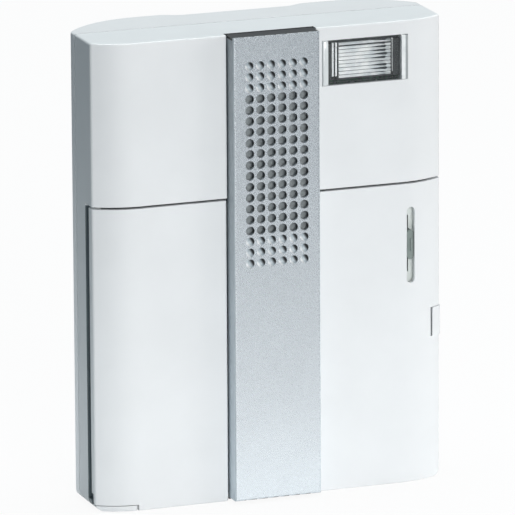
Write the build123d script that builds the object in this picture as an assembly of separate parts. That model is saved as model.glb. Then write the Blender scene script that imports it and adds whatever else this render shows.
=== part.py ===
from build123d import *
import math
import os

os.makedirs("parts", exist_ok=True)

# A chime box for a wall. Lengths are in millimetres, X runs to the right and Z up.
# The wall is the plane y = 0, the front faces -Y, and the origin is the middle of the wall side.

# Whole case
case_width = 143.0
case_height = 185.0
case_depth = 44.0
wall = 2.2
edge_run = 18.0
edge_drop = 5.6
corner_round = 1.5
bottom_round = 3.5
top_round = 0.8
rim_round = 0.5
fit_gap = 0.3
touch_gap = 0.1
overrun = 1.0

# Split between the housing and the shell, and the plan of the shell's back
cover_depth = 23.5
parting_gap = 0.5
side_flat = 4.0
pad_outer = 40.0
pad_inner = 31.0
waist_half = 20.5
waist_drop = 3.0
waist_rib = 6.0
lip_wall = 1.4
lip_reach = 2.2

# Doors and the side walls beside them
door_head_space = 5.5
door_slit = 0.9
door_wall = 1.9
door_corner = 1.0
skirt_depth = 3.4
groove_width = 4.1
groove_drop = 1.6
rim_wall = 1.8
rim_back = 2.0
ledge_wall = 2.2
ledge_depth = 12.0
cutout_width = 16.2
cutout_height = 2.4
cutout_slit = 0.9
pry_height = 6.5
pry_depth = 2.0
tongue_wall = 1.2
tongue_height = 10.0
tongue_reach = 4.0
tongue_inset = 2.6
rib_wall = 1.2
rib_reach = 1.6

# Channel for the strip, and the spine under it
channel_half = 18.4
channel_depth = 3.0
spine_half = 17.3
spine_wall = 2.0
channel_wall = 1.3
web_depth = 8.0

# Hinges
hinge_inset = 2.5
pin_radius = 0.75
pin_gap = 0.05
pin_seat_gap = 0.02
eye_radius = 1.5
knuckle_radius = 1.7
eye_height = 5.0
knuckle_height = 4.0
axial_gap = 0.2
hinge_top_drop = 9.7
hinge_bottom_rise = 12.5
arm_wall = 2.5
arm_setback = 3.5
neck_lead = 0.3

# Strip
strip_half = 17.75
strip_proud = 6.0
strip_wall = 1.6
strip_side_wall = 1.5
strip_round = 0.8
strip_foot = 1.2
hole_columns = 6
hole_rows = 19
blind_rows = 3
column_pitch = 4.44
row_pitch = 4.32
hole_radius = 1.75
first_row_drop = 11.5
dimple_depth = 1.2
end_rebate = 1.2
end_lip = 0.6

# Core of the strip, and its cloth
core_wall = 1.2
core_rail = 1.2
core_end = 1.8
core_top_drop = 0.2
core_flange = 0.8
cloth_wall = 0.5
cloth_margin = 1.5

# Speaker
speaker_radius = 20.0
port_radius = 17.0
gasket_wall = 1.0
gasket_width = 2.6
flange_wall = 1.0
ear_radius = 3.0
ear_reach = 2.6
basket_depth = 10.0
basket_rim_depth = 2.4
basket_back_radius = 10.0
basket_wall = 0.8
basket_windows = 4
window_width = 8.0
surround_width = 3.0
surround_wall = 0.8
cone_wall = 0.5
cone_depth = 5.0
cone_throat = 6.0
dust_cap_rise = 2.0
magnet_radius = 12.0
magnet_height = 5.0
back_plate_radius = 12.8
back_plate_wall = 1.2
speaker_screw_radius = 1.1
speaker_screw_head = 2.2
speaker_screw_head_height = 1.2
speaker_screw_bite = 1.4

# Flash lamp
lens_strip_space = 2.7
lens_width = 35.1
lens_top_drop = 5.6
lens_height = 17.5
lens_proud = 0.6
lens_wall = 1.2
lens_depth = 3.4
lens_flange = 1.2
lens_flange_wall = 0.8
lens_gap = 0.2
lens_round = 0.5
lens_ribs = 9
rib_span = 21.5
rib_inset = 6.4
lens_rib_depth = 0.5
bezel_depth = 5.0
bezel_left = 1.6
bezel_right = 4.0
bezel_top = 1.4
bezel_bottom = 1.0
bezel_gap = 0.4
bezel_side_space = 2.4
reflector_wall = 0.8
reflector_depth = 9.0
tube_radius = 1.6
tube_length = 22.0
tube_seat = 4.6
tube_cap_radius = 1.2
tube_cap_length = 2.0
flash_board_wall = 1.6
flash_board_margin = 3.0
post_radius = 2.0

# Main board and what stands on it
board_wall = 1.6
board_height_off_wall = 12.4
board_side_space = 5.5
board_top_space = 4.0
board_bottom_space = 4.5
board_inner = 12.0
board_split_drop = 4.0
board_post_inset = 5.0
board_post_radius = 3.0
board_post_bore = 1.2
board_screw_radius = 1.1
board_screw_head = 2.4
board_screw_head_height = 1.4
chip_width = 18.0
chip_height = 7.6
chip_wall = 2.4
chip_legs = 10
leg_width = 0.5
leg_reach = 1.4
leg_wall = 0.4
chip_speaker_gap = 5.0
chip_share = 0.674
driver_share = 0.385
driver_width = 10.0
driver_height = 6.4
driver_legs = 6
big_can_radius = 6.5
big_can_length = 26.0
big_can_side_space = 26.5
big_can_share = 0.417
can_groove = 0.5
can_radius = 3.0
can_length = 8.0
can_places = 4
can_side_space = 25.5
can_step = 9.0
can_share = 0.9
coil_radius = 4.0
coil_core_radius = 1.5
coil_length = 9.0
coil_can_space = 15.0
coil_share = 0.193
coil_flange_wall = 1.0
resistor_radius = 1.1
resistor_length = 6.0
resistor_count = 6
resistor_side_space = 19.5
resistor_step = 5.0
resistor_share = 0.16
resistor_lead_radius = 0.35
resistor_lead_reach = 2.0

# Slide potentiometer for the volume, with its trough and knob
slot_side_space = 14.0
slot_drop = 25.0
slot_width = 3.4
slot_length = 30.4
pot_width = 9.0
pot_length = 46.0
pot_height = 8.0
pot_slit = 1.4
lever_width = 0.8
lever_shift = 0.6
lever_length = 4.0
slide_reach = 9.0
trough_floor_drop = 3.4
trough_wall = 0.8
trough_half = 1.9
trough_margin = 1.6
knob_width = 2.6
knob_length = 11.8
knob_drop = 0.7
knob_ridge_width = 0.7
knob_ridge_length = 5.0
knob_ridge_rise = 0.4

# Latch tab of the right door
tab_drop = 57.4
tab_height = 11.4
tab_width = 4.6
tab_proud = 0.5
tab_travel = 0.5
tab_setback = 1.5
tab_side_wall = 1.6
stem_length = 11.0
stem_half = 0.75
collar_half = 1.7
collar_wall = 1.0
collar_inset = 2.3
bracket_wall = 1.2
bracket_margin = 1.6
latch_spring_radius = 1.5
latch_spring_wire = 0.4
latch_spring_turns = 4
latch_spring_length = 5.5

# Control panel behind the right door
panel_wall = 1.5
panel_rise = 12.0
panel_boss_gap = 1.1
panel_side_space = 3.2
panel_top_space = 2.2
panel_foot_rise = 28.5
button_radius = 3.2
button_flange = 4.0
button_flange_wall = 0.8
button_stem = 1.5
button_rise = 1.2
button_travel = 0.6
switch_half = 3.0
switch_height = 3.6
melody_share = 0.21
learn_share = 0.63
button_drop = 48.0
mode_share = 0.42
mode_drop = 22.0
mode_body_half = 5.0
mode_body_tall_half = 2.4
mode_body_height = 5.0
mode_lever_half = 1.3
mode_travel = 2.0
mode_rise = 1.6
mode_stem_half = 0.8

# Terminal block for the bell wires
terminal_count = 6
terminal_pitch = 6.0
terminal_side_space = 9.5
terminal_rise = 7.5
terminal_height = 11.0
terminal_depth = 12.0
terminal_screw_radius = 1.9
terminal_well_radius = 2.1
terminal_well_depth = 4.0
terminal_wire_half = 1.6
terminal_wire_depth = 7.0
screw_slot_width = 0.7
screw_slot_depth = 0.6

# Battery tray, cells and contacts
cell_radius = 12.9
cell_length = 50.0
cell_nub_radius = 2.9
cell_nub_height = 1.5
cell_edge = 0.6
cell_setback = 0.45
tray_gap = 0.2
tray_wall = 1.2
tray_end_wall = 1.4
tray_bottom_gap = 0.4
column_rib = 0.7
spring_room = 8.0
spring_radius = 5.5
spring_wire = 0.8
spring_turns = 3
contact_wall = 0.4
contact_half = 8.0
cell_gap = 0.2

# Fixings of the case
screw_side_space = 7.2
high_screw_drop = 24.0
low_screw_rise = 26.5
lug_half = 3.4
lug_wall = 2.0
case_screw_radius = 1.5
case_screw_head = 2.8
case_screw_head_height = 2.0
case_screw_bite = 6.0
case_screw_bore = 1.35
boss_radius = 3.4
keyhole_drop = 30.5
keyhole_round = 4.5
keyhole_neck = 2.2
keyhole_rise = 8.0
wall_screw_spacing = 60.0
wall_screw_foot_rise = 46.5
wall_screw_radius = 2.2
spacer_radius = 5.0
entry_radius = 6.0
grommet_bore = 3.5
grommet_flange = 8.0
grommet_flange_wall = 1.2

# Places worked out from the sizes above
half_width = case_width / 2
half_height = case_height / 2
front_y = -case_depth
parting_y = front_y + cover_depth
shell_y = parting_y + parting_gap
side_turn = -shell_y - side_flat
inner_half = half_width - wall
inner_top = half_height - wall
tray_low = -inner_top + tray_bottom_gap
tray_high = tray_low + 2 * tray_end_wall + 2 * contact_wall + spring_room + 2 * cell_length + 4 * cell_gap
cell_y = -(case_depth - door_wall + wall) / 2 - cell_setback
door_line = tray_high + door_head_space
flat_half = half_width - edge_run
front_radius = (edge_run ** 2 + edge_drop ** 2) / (2 * edge_drop)
corner_y = front_y + edge_drop
floor_y = front_y + channel_depth
strip_y = front_y - strip_proud
ledge_z = door_line + door_slit / 2
door_top = door_line - door_slit / 2
door_gap = door_wall + fit_gap
skirt_y = corner_y + skirt_depth
groove_y = skirt_y + groove_width
rim_y = groove_y + rim_back
tray_front = rim_y + fit_gap
hinge_x = channel_half + hinge_inset
hinge_y = front_y + hinge_inset
swing_radius = hinge_inset * math.sqrt(2)
corner_reach = (hinge_inset - door_corner) * math.sqrt(2) + door_corner
hinge_places = (door_top - hinge_top_drop, hinge_bottom_rise - half_height)
first_row_z = half_height - first_row_drop
last_row_z = first_row_z - (hole_rows - 1) * row_pitch
grille_z = (first_row_z + last_row_z) / 2
board_back = -board_height_off_wall
board_front = board_back - board_wall
board_side = inner_half - board_side_space
board_top = inner_top - board_top_space
board_split = door_line - board_split_drop
board_rise = board_top - board_split
chip_x = -(speaker_radius + chip_speaker_gap + chip_width / 2)
chip_z = board_split + chip_share * board_rise
driver_z = board_split + driver_share * board_rise
big_can_x = half_width - big_can_side_space
big_can_z = board_split + big_can_share * board_rise
can_first_x = can_side_space - half_width
can_z = board_split + can_share * board_rise
coil_x = big_can_x - coil_can_space
coil_z = board_split + coil_share * board_rise
resistor_first_x = resistor_side_space - half_width
resistor_z = board_split + resistor_share * board_rise
lens_inner = channel_half + lens_strip_space
lens_top = half_height - lens_top_drop
slot_x = half_width - slot_side_space
lever_x = slot_x - lever_shift
slot_z = door_line - slot_drop
tab_z = door_line - tab_drop
screw_x = spine_half + screw_side_space
high_screw_z = door_line - high_screw_drop
low_screw_z = low_screw_rise - half_height
panel_y = board_front - panel_rise
panel_inner = screw_x + boss_radius + panel_boss_gap
panel_bottom = panel_foot_rise - half_height
melody_x = panel_inner + melody_share * (slot_x - panel_inner)
learn_x = panel_inner + learn_share * (slot_x - panel_inner)
mode_x = panel_inner + mode_share * (slot_x - panel_inner)
button_z = door_line - button_drop
mode_z = door_line - mode_drop
terminal_x = half_width - terminal_side_space - terminal_count * terminal_pitch
terminal_z = terminal_rise - half_height
keyhole_x = (pad_inner + pad_outer) / 2
keyhole_z = half_height - keyhole_drop
wall_screw_middle = wall_screw_foot_rise - half_height


def block(x0, x1, y0, y1, z0, z1):
    middle = Pos((x0 + x1) / 2, (y0 + y1) / 2, (z0 + z1) / 2)
    return middle * Box(abs(x1 - x0), abs(y1 - y0), abs(z1 - z0))


def rod_x(radius, y, z, x0, x1):
    return Pos((x0 + x1) / 2, y, z) * Rot(0, 90, 0) * Cylinder(radius, abs(x1 - x0))


def rod_y(radius, x, z, y0, y1):
    return Pos(x, (y0 + y1) / 2, z) * Rot(90, 0, 0) * Cylinder(radius, abs(y1 - y0))


def rod_z(radius, x, y, z0, z1):
    return Pos(x, y, (z0 + z1) / 2) * Cylinder(radius, abs(z1 - z0))


def cone_y(radius0, radius1, x, z, y0, y1):
    # radius0 lies at y0 and radius1 at y1, where y1 is nearer the front
    return Pos(x, (y0 + y1) / 2, z) * Rot(90, 0, 0) * Cone(radius0, radius1, abs(y1 - y0))


def raised(face, z0, z1):
    return Pos(0, 0, z0) * extrude(face, amount=z1 - z0)


def mirrored(solid):
    return mirror(solid, about=Plane.YZ)


def together(solids):
    return Compound(children=list(solids))


def bend(center, start, end):
    # an arc about center that is less than half a turn
    middle = Vector(*center)
    first = Vector(*start) - middle
    last = Vector(*end) - middle
    return ThreePointArc(Vector(*start), middle + (first + last).normalized() * first.length, Vector(*end))


def front_plan(inset, back_y):
    # plan of the front housing, moved inwards by inset and closed at back_y
    side = half_width - inset
    radius = front_radius - inset
    center_y = front_y + front_radius
    start_y = center_y - math.sqrt(radius ** 2 - (side - flat_half) ** 2)
    flat_y = front_y + inset
    face = make_face([
        Line((-side, back_y), (-side, start_y)),
        bend((-flat_half, center_y), (-side, start_y), (-flat_half, flat_y)),
        Line((-flat_half, flat_y), (flat_half, flat_y)),
        bend((flat_half, center_y), (flat_half, flat_y), (side, start_y)),
        Line((side, start_y), (side, back_y)),
        Line((side, back_y), (-side, back_y)),
    ])
    if corner_round > inset:
        corners = [v for v in face.vertices() if abs(v.Y - start_y) < fit_gap]
        face = fillet(corners, corner_round - inset)
    return face


def back_plan(inset, open_y):
    # plan of the back shell, moved inwards by inset and closed at open_y
    side = half_width - inset
    run = half_width - pad_outer
    bulge = (run ** 2 + side_turn ** 2) / (2 * side_turn)
    turn_y = math.sqrt((bulge - inset) ** 2 - (side - pad_outer) ** 2) - bulge
    step_run = (pad_inner - waist_half) / 2
    step_radius = (step_run ** 2 + (waist_drop / 2) ** 2) / waist_drop
    reach = Vector(waist_half - pad_inner, 2 * step_radius - waist_drop).normalized()
    meet = Vector(pad_inner, -step_radius) + reach * (step_radius - inset)

    def half(sign):
        # from the side to the waist
        return [
            bend((sign * pad_outer, -bulge), (sign * side, turn_y), (sign * pad_outer, -inset)),
            Line((sign * pad_outer, -inset), (sign * pad_inner, -inset)),
            bend((sign * pad_inner, -step_radius), (sign * pad_inner, -inset), (sign * meet.X, meet.Y)),
            bend((sign * waist_half, step_radius - waist_drop), (sign * meet.X, meet.Y),
                 (sign * waist_half, -waist_drop - inset)),
        ]

    return make_face(
        [Line((-side, open_y), (-side, turn_y))] + half(-1)
        + [Line((-waist_half, -waist_drop - inset), (waist_half, -waist_drop - inset))]
        + half(1)
        + [Line((side, turn_y), (side, open_y)), Line((side, open_y), (-side, open_y))]
    )


def front_view():
    # the case seen from the front, as a block through the whole depth that stands out at its straight sides
    def corner(x_sign, z_sign, radius):
        cx, cz = half_width - radius, half_height - radius
        return [
            (x_sign * (half_width + overrun), z_sign * cz), (x_sign * half_width, z_sign * cz),
            (x_sign * cx, z_sign * half_height), (x_sign * cx, z_sign * (half_height + overrun)),
            (x_sign * cx, z_sign * cz),
        ]

    edges = []
    corners = [corner(1, 1, top_round), corner(-1, 1, top_round), corner(-1, -1, bottom_round), corner(1, -1, bottom_round)]
    for index, (wide, side, end, tall, center) in enumerate(corners):
        if index % 2:
            wide, side, end, tall = tall, end, side, wide
        edges += [Line(wide, side), bend(center, side, end), Line(end, tall)]
        following = corners[(index + 1) % 4]
        edges.append(Line(tall, following[0] if index % 2 else following[3]))
    face = make_face(edges)
    return Pos(0, overrun, 0) * extrude(Plane.XZ * face, amount=case_depth + 2 * overrun)


def outer_front():
    # the outside of the housing and its doors, with softened edges at the top and the bottom
    body = raised(front_plan(0, parting_y), -half_height, half_height)

    def on_rim(edge):
        box = edge.bounding_box()
        level = box.max.Z - box.min.Z < touch_gap and abs(abs(box.min.Z) - half_height) < touch_gap
        return level and box.min.Y < parting_y - touch_gap

    return fillet(body.edges().filter_by(on_rim), rim_round) & front_view()


def side_zone(sign, inner, z0, z1):
    # the space left or right of the spine, from inner outwards
    outer = half_width + overrun
    x0, x1 = sorted((sign * inner, sign * outer))
    return block(x0, x1, front_y - overrun, parting_y, z0, z1)


def hinge_eye(z):
    # the fixed eye of a left hinge, its neck and the arm to the spine
    low, high = z - eye_height / 2, z + eye_height / 2
    eye = rod_z(eye_radius, -hinge_x, hinge_y, low, high)
    back = hinge_y + arm_setback
    neck = block(-hinge_x - eye_radius, -hinge_x + neck_lead, hinge_y, back + arm_wall, low, high)
    arm = block(-hinge_x - eye_radius, -spine_half + channel_wall, back, back + arm_wall, low, high)
    return eye + neck + arm - rod_z(pin_radius + pin_seat_gap, -hinge_x, hinge_y, low - overrun, high + overrun)


def front_housing():
    body = outer_front()
    body -= raised(front_plan(wall, parting_y + overrun), -inner_top, inner_top)
    low = -half_height - overrun

    # pockets for the doors, and the shallow groove beside each skirt
    shell = raised(front_plan(-overrun, parting_y), low, ledge_z)
    shell -= raised(front_plan(door_gap, parting_y + overrun), low - overrun, ledge_z + overrun)
    shell &= block(-case_width, case_width, front_y - 2 * overrun, skirt_y + fit_gap, low, ledge_z)
    corner_lip = block(
        -case_width, -half_width + cutout_width - cutout_slit,
        front_y - 2 * overrun, parting_y, low, -half_height + cutout_height - fit_gap,
    )
    for sign in (-1, 1):
        pocket = shell & side_zone(sign, spine_half, low, ledge_z)
        if sign < 0:
            pocket -= corner_lip
        body -= pocket
        edge = half_width - groove_drop
        x0, x1 = sorted((sign * edge, sign * (half_width + overrun)))
        body -= block(x0, x1, skirt_y, groove_y, -half_height + bottom_round, ledge_z)
        swing = rod_z(swing_radius + fit_gap, sign * hinge_x, hinge_y, low, -inner_top + overrun)
        body -= swing & side_zone(sign, spine_half, low, ledge_z)

    # channel of the strip, with its floor and, above the doors, its side walls
    body -= block(-channel_half, channel_half, front_y - overrun, floor_y, -case_height, case_height)
    spine_back = floor_y + spine_wall
    body += block(-spine_half, spine_half, floor_y, spine_back, -half_height + rim_round, inner_top)
    outer = channel_half + channel_wall
    body += block(-outer, outer, floor_y, spine_back, ledge_z, inner_top)
    for sign in (-1, 1):
        x0, x1 = sorted((sign * channel_half, sign * outer))
        body += block(x0, x1, front_y + door_wall, spine_back, ledge_z, inner_top)
        x0, x1 = sorted((sign * (spine_half - channel_wall), sign * spine_half))
        body += block(x0, x1, spine_back, spine_back + web_depth, -inner_top, grille_z - port_radius - overrun)

    # ledge above the doors, open in the middle for the speaker
    ledge = raised(front_plan(wall / 2, front_y + ledge_depth), ledge_z, ledge_z + ledge_wall)
    body += ledge - block(-outer, outer, front_y, parting_y, ledge_z, ledge_z + ledge_wall)

    # inner rims that the skirts close over
    rim = raised(front_plan(door_gap, rim_y), -inner_top, ledge_z)
    rim -= raised(front_plan(door_gap + rim_wall, parting_y), -half_height, half_height)
    rim &= block(-case_width, case_width, corner_y + fit_gap + rim_wall - touch_gap, parting_y, low, half_height)
    body += rim
    pry_low = -half_height + wall
    body -= block(
        -half_width + door_wall, -inner_half + rim_wall + overrun,
        front_y, skirt_y + fit_gap, pry_low, -half_height + pry_height,
    )

    # hinge eyes
    for z in hinge_places:
        body += hinge_eye(z)
        body += mirrored(hinge_eye(z))

    # sound port, and lugs for the screws that hold the housing to the shell
    body -= rod_y(port_radius, 0, grille_z, floor_y - overrun, spine_back + overrun)
    for reach in speaker_screw_places():
        body -= rod_y(speaker_screw_radius + pin_gap, 0, reach, floor_y - overrun, spine_back + overrun)
    lug_back = spine_back + web_depth
    lug_front = lug_back - lug_wall
    for z in (low_screw_z, high_screw_z):
        body += block(spine_half, screw_x + lug_half, lug_front, lug_back, z - lug_half, z + lug_half)
        body -= rod_y(case_screw_radius + fit_gap, screw_x, z, lug_front - overrun, lug_back + overrun)

    # window of the flash lamp
    x1 = lens_inner + lens_width + lens_gap
    body -= block(
        lens_inner - lens_gap, x1, front_y - overrun, front_y + 2 * wall,
        lens_top - lens_height - lens_gap, lens_top + lens_gap,
    )
    return body


def speaker_screw_places():
    reach = speaker_radius + ear_reach
    return (grille_z + reach, grille_z - reach)


def keyhole(x):
    # round entry below, with a neck that rises to the resting place
    slot = rod_y(keyhole_round, x, keyhole_z, -case_depth, overrun)
    slot += rod_y(keyhole_neck, x, keyhole_z + keyhole_rise, -case_depth, overrun)
    slot += block(x - keyhole_neck, x + keyhole_neck, -case_depth, overrun, keyhole_z, keyhole_z + keyhole_rise)
    return slot


def wall_screw_places():
    return [wall_screw_middle + sign * wall_screw_spacing / 2 for sign in (1, -1)]


def board_holes():
    right = board_side - board_post_inset
    top = board_top - board_post_inset
    return [
        (-right, top), (right, top), (-right, board_split + board_post_inset),
        (right, terminal_z + terminal_height + board_post_inset),
    ]


def back_shell():
    body = raised(back_plan(0, shell_y), -half_height, half_height) & front_view()
    inner = raised(back_plan(wall, shell_y - overrun), -inner_top, inner_top)
    body -= inner

    # lip that enters the housing
    lip_outer = inner_half - fit_gap
    lip_high = inner_top - fit_gap
    lip_back = shell_y + lip_reach
    lip_front = shell_y - lip_reach
    lip = block(-lip_outer, lip_outer, lip_front, lip_back, -lip_high, lip_high)
    side = lip_outer - lip_wall
    high = lip_high - lip_wall
    bridge = block(-inner_half, inner_half, shell_y, lip_back, -inner_top, inner_top)
    lip = lip + bridge - block(-side, side, lip_front - overrun, lip_back + overrun, -high, high)
    tray_x, tray_z = tray_limits()[1], tray_limits()[3]
    lip -= block(-inner_half, tray_x + fit_gap, lip_front - overrun, lip_back + overrun, -inner_top, tray_z + fit_gap)
    body += lip

    # posts of the board, and bosses for the screws of the housing
    inside = raised(back_plan(wall / 2, shell_y - case_depth), -inner_top, inner_top)
    for x, z in board_holes():
        post = rod_y(board_post_radius, x, z, 0, board_back) & inside
        body += post
        body -= rod_y(board_post_bore, x, z, board_back + 2 * board_post_radius, board_back - overrun)
    boss_y = floor_y + spine_wall + web_depth + fit_gap
    for z in (low_screw_z, high_screw_z):
        body += rod_y(boss_radius, screw_x, z, 0, boss_y) & inside
        body -= rod_y(case_screw_bore, screw_x, z, boss_y + case_screw_bite + overrun, boss_y - overrun)

    # rib across the waist, which meets the wall like the pads do
    body += block(-pad_inner, pad_inner, -waist_drop - wall / 2, 0, -waist_rib / 2, waist_rib / 2)

    # keyholes, the two wall screws with their spacers, and the cable entry between them
    for sign in (-1, 1):
        body -= keyhole(sign * keyhole_x)
    for z in wall_screw_places():
        body += rod_y(spacer_radius, 0, z, -waist_drop - wall / 2, 0)
        body -= rod_y(wall_screw_radius, 0, z, -case_depth, overrun)
    body -= rod_y(entry_radius, 0, wall_screw_middle, -case_depth, overrun)
    return body


def door_body():
    # the left door: curved plate with a skirt round its free edge, knuckles and inner ribs
    low = -half_height
    shell = outer_front() - raised(front_plan(door_wall, parting_y + overrun), low - overrun, half_height)
    door = shell & block(-case_width, -channel_half, front_y - overrun, skirt_y, low - overrun, door_top)
    edge = [e for e in door.edges() if abs(e.center().X + channel_half) < touch_gap
            and abs(e.center().Y - front_y) < touch_gap and e.length > case_height / 4]
    door = fillet(edge, door_corner)
    inner_y = front_y + door_wall
    for z in hinge_places:
        reach = eye_height / 2 + axial_gap
        for start, end in ((z + reach, z + reach + knuckle_height), (z - reach - knuckle_height, z - reach)):
            door += rod_z(knuckle_radius, -hinge_x, hinge_y, start, end)
        door -= rod_z(eye_radius + fit_gap, -hinge_x, hinge_y, z - reach, z + reach)
        span = reach + knuckle_height + overrun
        door -= rod_z(pin_radius + pin_gap, -hinge_x, hinge_y, z - span, z + span)
    middle = (door_top - half_height) / 2
    for step in (-1, 1):
        z = middle + step * (door_top + half_height) / 4
        rib = block(-flat_half, -hinge_x - 2 * knuckle_radius, inner_y, inner_y + rib_reach, z, z + rib_wall)
        door += rib
    return door


def left_door():
    door = door_body()
    low = -half_height
    door -= block(
        -case_width, -half_width + cutout_width, front_y - overrun, parting_y,
        low - overrun, low + cutout_height,
    )
    door -= block(
        -case_width, -half_width + 2 * door_wall, skirt_y - pry_depth, parting_y,
        low, low + pry_height,
    )
    # tongue that holds the free edge
    x1 = -inner_half + rim_wall + tongue_inset
    inner_y = front_y + door_wall
    z = (door_top - half_height) / 2
    tongue = block(x1 - tongue_wall, x1, inner_y, corner_y + tongue_reach, z - tongue_height / 2, z + tongue_height / 2)
    return door + (tongue & bracket_space())


def tab_window():
    x0 = half_width - tab_width
    z0, z1 = tab_z - tab_height / 2, tab_z + tab_height / 2
    return x0, z0, z1


def bracket_place():
    # the collar's inner face, less the spring, is where the bracket starts
    x1 = tab_window()[0] - collar_inset - collar_wall - latch_spring_length
    return x1 - bracket_wall, x1


def right_door():
    door = mirrored(door_body())
    half = slot_width / 2
    ends = slot_length / 2 - half
    slot = block(slot_x - half, slot_x + half, front_y - overrun, skirt_y, slot_z - ends, slot_z + ends)
    for sign in (-1, 1):
        slot += rod_y(half, slot_x, slot_z + sign * ends, front_y - overrun, skirt_y)
    door -= slot
    x0, z0, z1 = tab_window()
    door -= block(x0, case_width, front_y - overrun, parting_y, z0 - fit_gap / 2, z1 + fit_gap / 2)
    # bracket that guides the stem of the tab
    b0, b1 = bracket_place()
    inner_y = front_y + door_wall
    y = stem_y()
    reach = stem_half + bracket_margin
    door += block(b0, b1, inner_y - touch_gap, y + reach, tab_z - reach, tab_z + reach) & bracket_space()
    hole = stem_half + fit_gap
    door -= block(b0 - overrun, b1 + overrun, y - hole, y + hole, tab_z - hole, tab_z + hole)
    return door


def bracket_space():
    # everything behind the outer face of the door
    return raised(front_plan(door_wall / 2, parting_y), -half_height, half_height)


def stem_y():
    return corner_y + stem_half + touch_gap


def latch_tab():
    x0, z0, z1 = tab_window()
    face = raised(front_plan(-tab_proud, parting_y), z0, z1)
    front = front_y - overrun
    tab = block(x0 + tab_travel + fit_gap / 2, case_width, front, corner_y + tab_setback, z0, z1)
    tab += block(half_width + tab_proud - tab_side_wall, case_width, front, skirt_y, z0, z1)
    tab &= face
    y = stem_y()
    tab += block(x0 - stem_length, x0 + 2 * fit_gap, y - stem_half, y + stem_half, tab_z - stem_half, tab_z + stem_half)
    c1 = x0 - collar_inset
    tab += block(c1 - collar_wall, c1, y - collar_half, y + collar_half, tab_z - collar_half, tab_z + collar_half)
    return tab


def coil_spring(radius, wire, turns, length, steps_per_turn=4):
    # a spring along Z from z = 0: one tube on arcs, whose ends stand square to their seats
    lead = 3 * wire / 2
    rise = (length - 2 * lead - 2 * wire) / turns
    start = wire + lead

    def on_coil(turn):
        angle = 2 * math.pi * turn
        place = Vector(radius * math.cos(angle), radius * math.sin(angle), start + rise * turn)
        along = Vector(-radius * math.sin(angle), radius * math.cos(angle), rise / (2 * math.pi)).normalized()
        return place, along

    def two_arcs(a, ta, b, tb):
        # two arcs that meet smoothly and keep both end directions
        span = b - a
        total = ta + tb
        cross = ta.dot(tb) - 1
        along = span.dot(total)
        if abs(cross) < 1e-9:
            reach = span.dot(span) / (2 * along)
        else:
            reach = (along - math.sqrt(along ** 2 - 2 * cross * span.dot(span))) / (2 * cross)
        middle = (a + ta * reach + b - tb * reach) / 2
        way = (b - tb * reach - a - ta * reach).normalized()
        return [Edge.make_tangent_arc(a, ta, middle), Edge.make_tangent_arc(middle, way, b)]

    up = Vector(0, 0, 1)
    first, first_way = on_coil(0)
    last, last_way = on_coil(turns)
    foot = Vector(first.X, first.Y - lead, wire)
    head = Vector(last.X, last.Y + lead, length - wire)
    edges = [Edge.make_line(Vector(foot.X, foot.Y, 0), foot)] + two_arcs(foot, up, first, first_way)
    count = steps_per_turn * turns
    for step in range(count):
        a, ta = on_coil(step / steps_per_turn)
        b, tb = on_coil((step + 1) / steps_per_turn)
        edges += two_arcs(a, ta, b, tb)
    edges += two_arcs(last, last_way, head, up) + [Edge.make_line(head, Vector(head.X, head.Y, length))]
    path = Wire(edges)
    profile = Plane(origin=(foot.X, foot.Y, 0), z_dir=(0, 0, 1)) * Circle(wire / 2)
    gap = rise - wire
    print("spring of radius", radius, "least gap between its turns", round(gap, 3))
    return sweep(profile, path=path)


def latch_spring():
    spring = coil_spring(latch_spring_radius, latch_spring_wire, latch_spring_turns, latch_spring_length)
    return Pos(bracket_place()[1], stem_y(), tab_z) * Rot(0, 90, 0) * spring


def hinge_pins():
    reach = eye_height / 2 + axial_gap + knuckle_height - touch_gap
    return together(rod_z(pin_radius, -hinge_x, hinge_y, z - reach, z + reach) for z in hinge_places)


def trim_strip():
    low = -half_height + strip_foot
    foot = core_limits()[2] - core_flange - touch_gap
    body = block(-strip_half, strip_half, strip_y, foot, low, half_height)
    long_edges = [e for e in body.edges().filter_by(Axis.Z) if abs(e.center().Y - strip_y) < touch_gap]
    low_edge = [e for e in body.edges().filter_by(Axis.X)
                if abs(e.center().Y - strip_y) < touch_gap and e.center().Z < 0]
    body = fillet(long_edges + low_edge, strip_round)
    inner = strip_half - strip_side_wall
    body -= block(-inner, inner, strip_y + strip_wall, foot + overrun, low + strip_side_wall, half_height + overrun)
    body -= block(-case_width, case_width, strip_y + end_lip, foot + overrun, half_height - end_rebate, case_height)
    cuts = []
    dimple = (hole_radius ** 2 + dimple_depth ** 2) / (2 * dimple_depth)
    for row in range(hole_rows):
        z = first_row_z - row * row_pitch
        for column in range(hole_columns):
            x = (column - (hole_columns - 1) / 2) * column_pitch
            if blind_rows <= row < hole_rows - blind_rows:
                cuts.append(rod_y(hole_radius, x, z, strip_y - overrun, strip_y + strip_wall + overrun))
            else:
                cuts.append(Pos(x, strip_y + dimple_depth - dimple, z) * Sphere(dimple))
    return body - cuts


def core_limits():
    half = strip_half - strip_side_wall - touch_gap
    front = strip_y + strip_wall + touch_gap
    low = -half_height + strip_foot + strip_side_wall + touch_gap
    return half, front, floor_y - touch_gap, low, half_height - core_top_drop


def grille_half_height():
    open_rows = hole_rows - 2 * blind_rows
    return (open_rows - 1) * row_pitch / 2 + 2 * hole_radius


def grille_half_width():
    return (hole_columns - 1) * column_pitch / 2 + 2 * hole_radius


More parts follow.
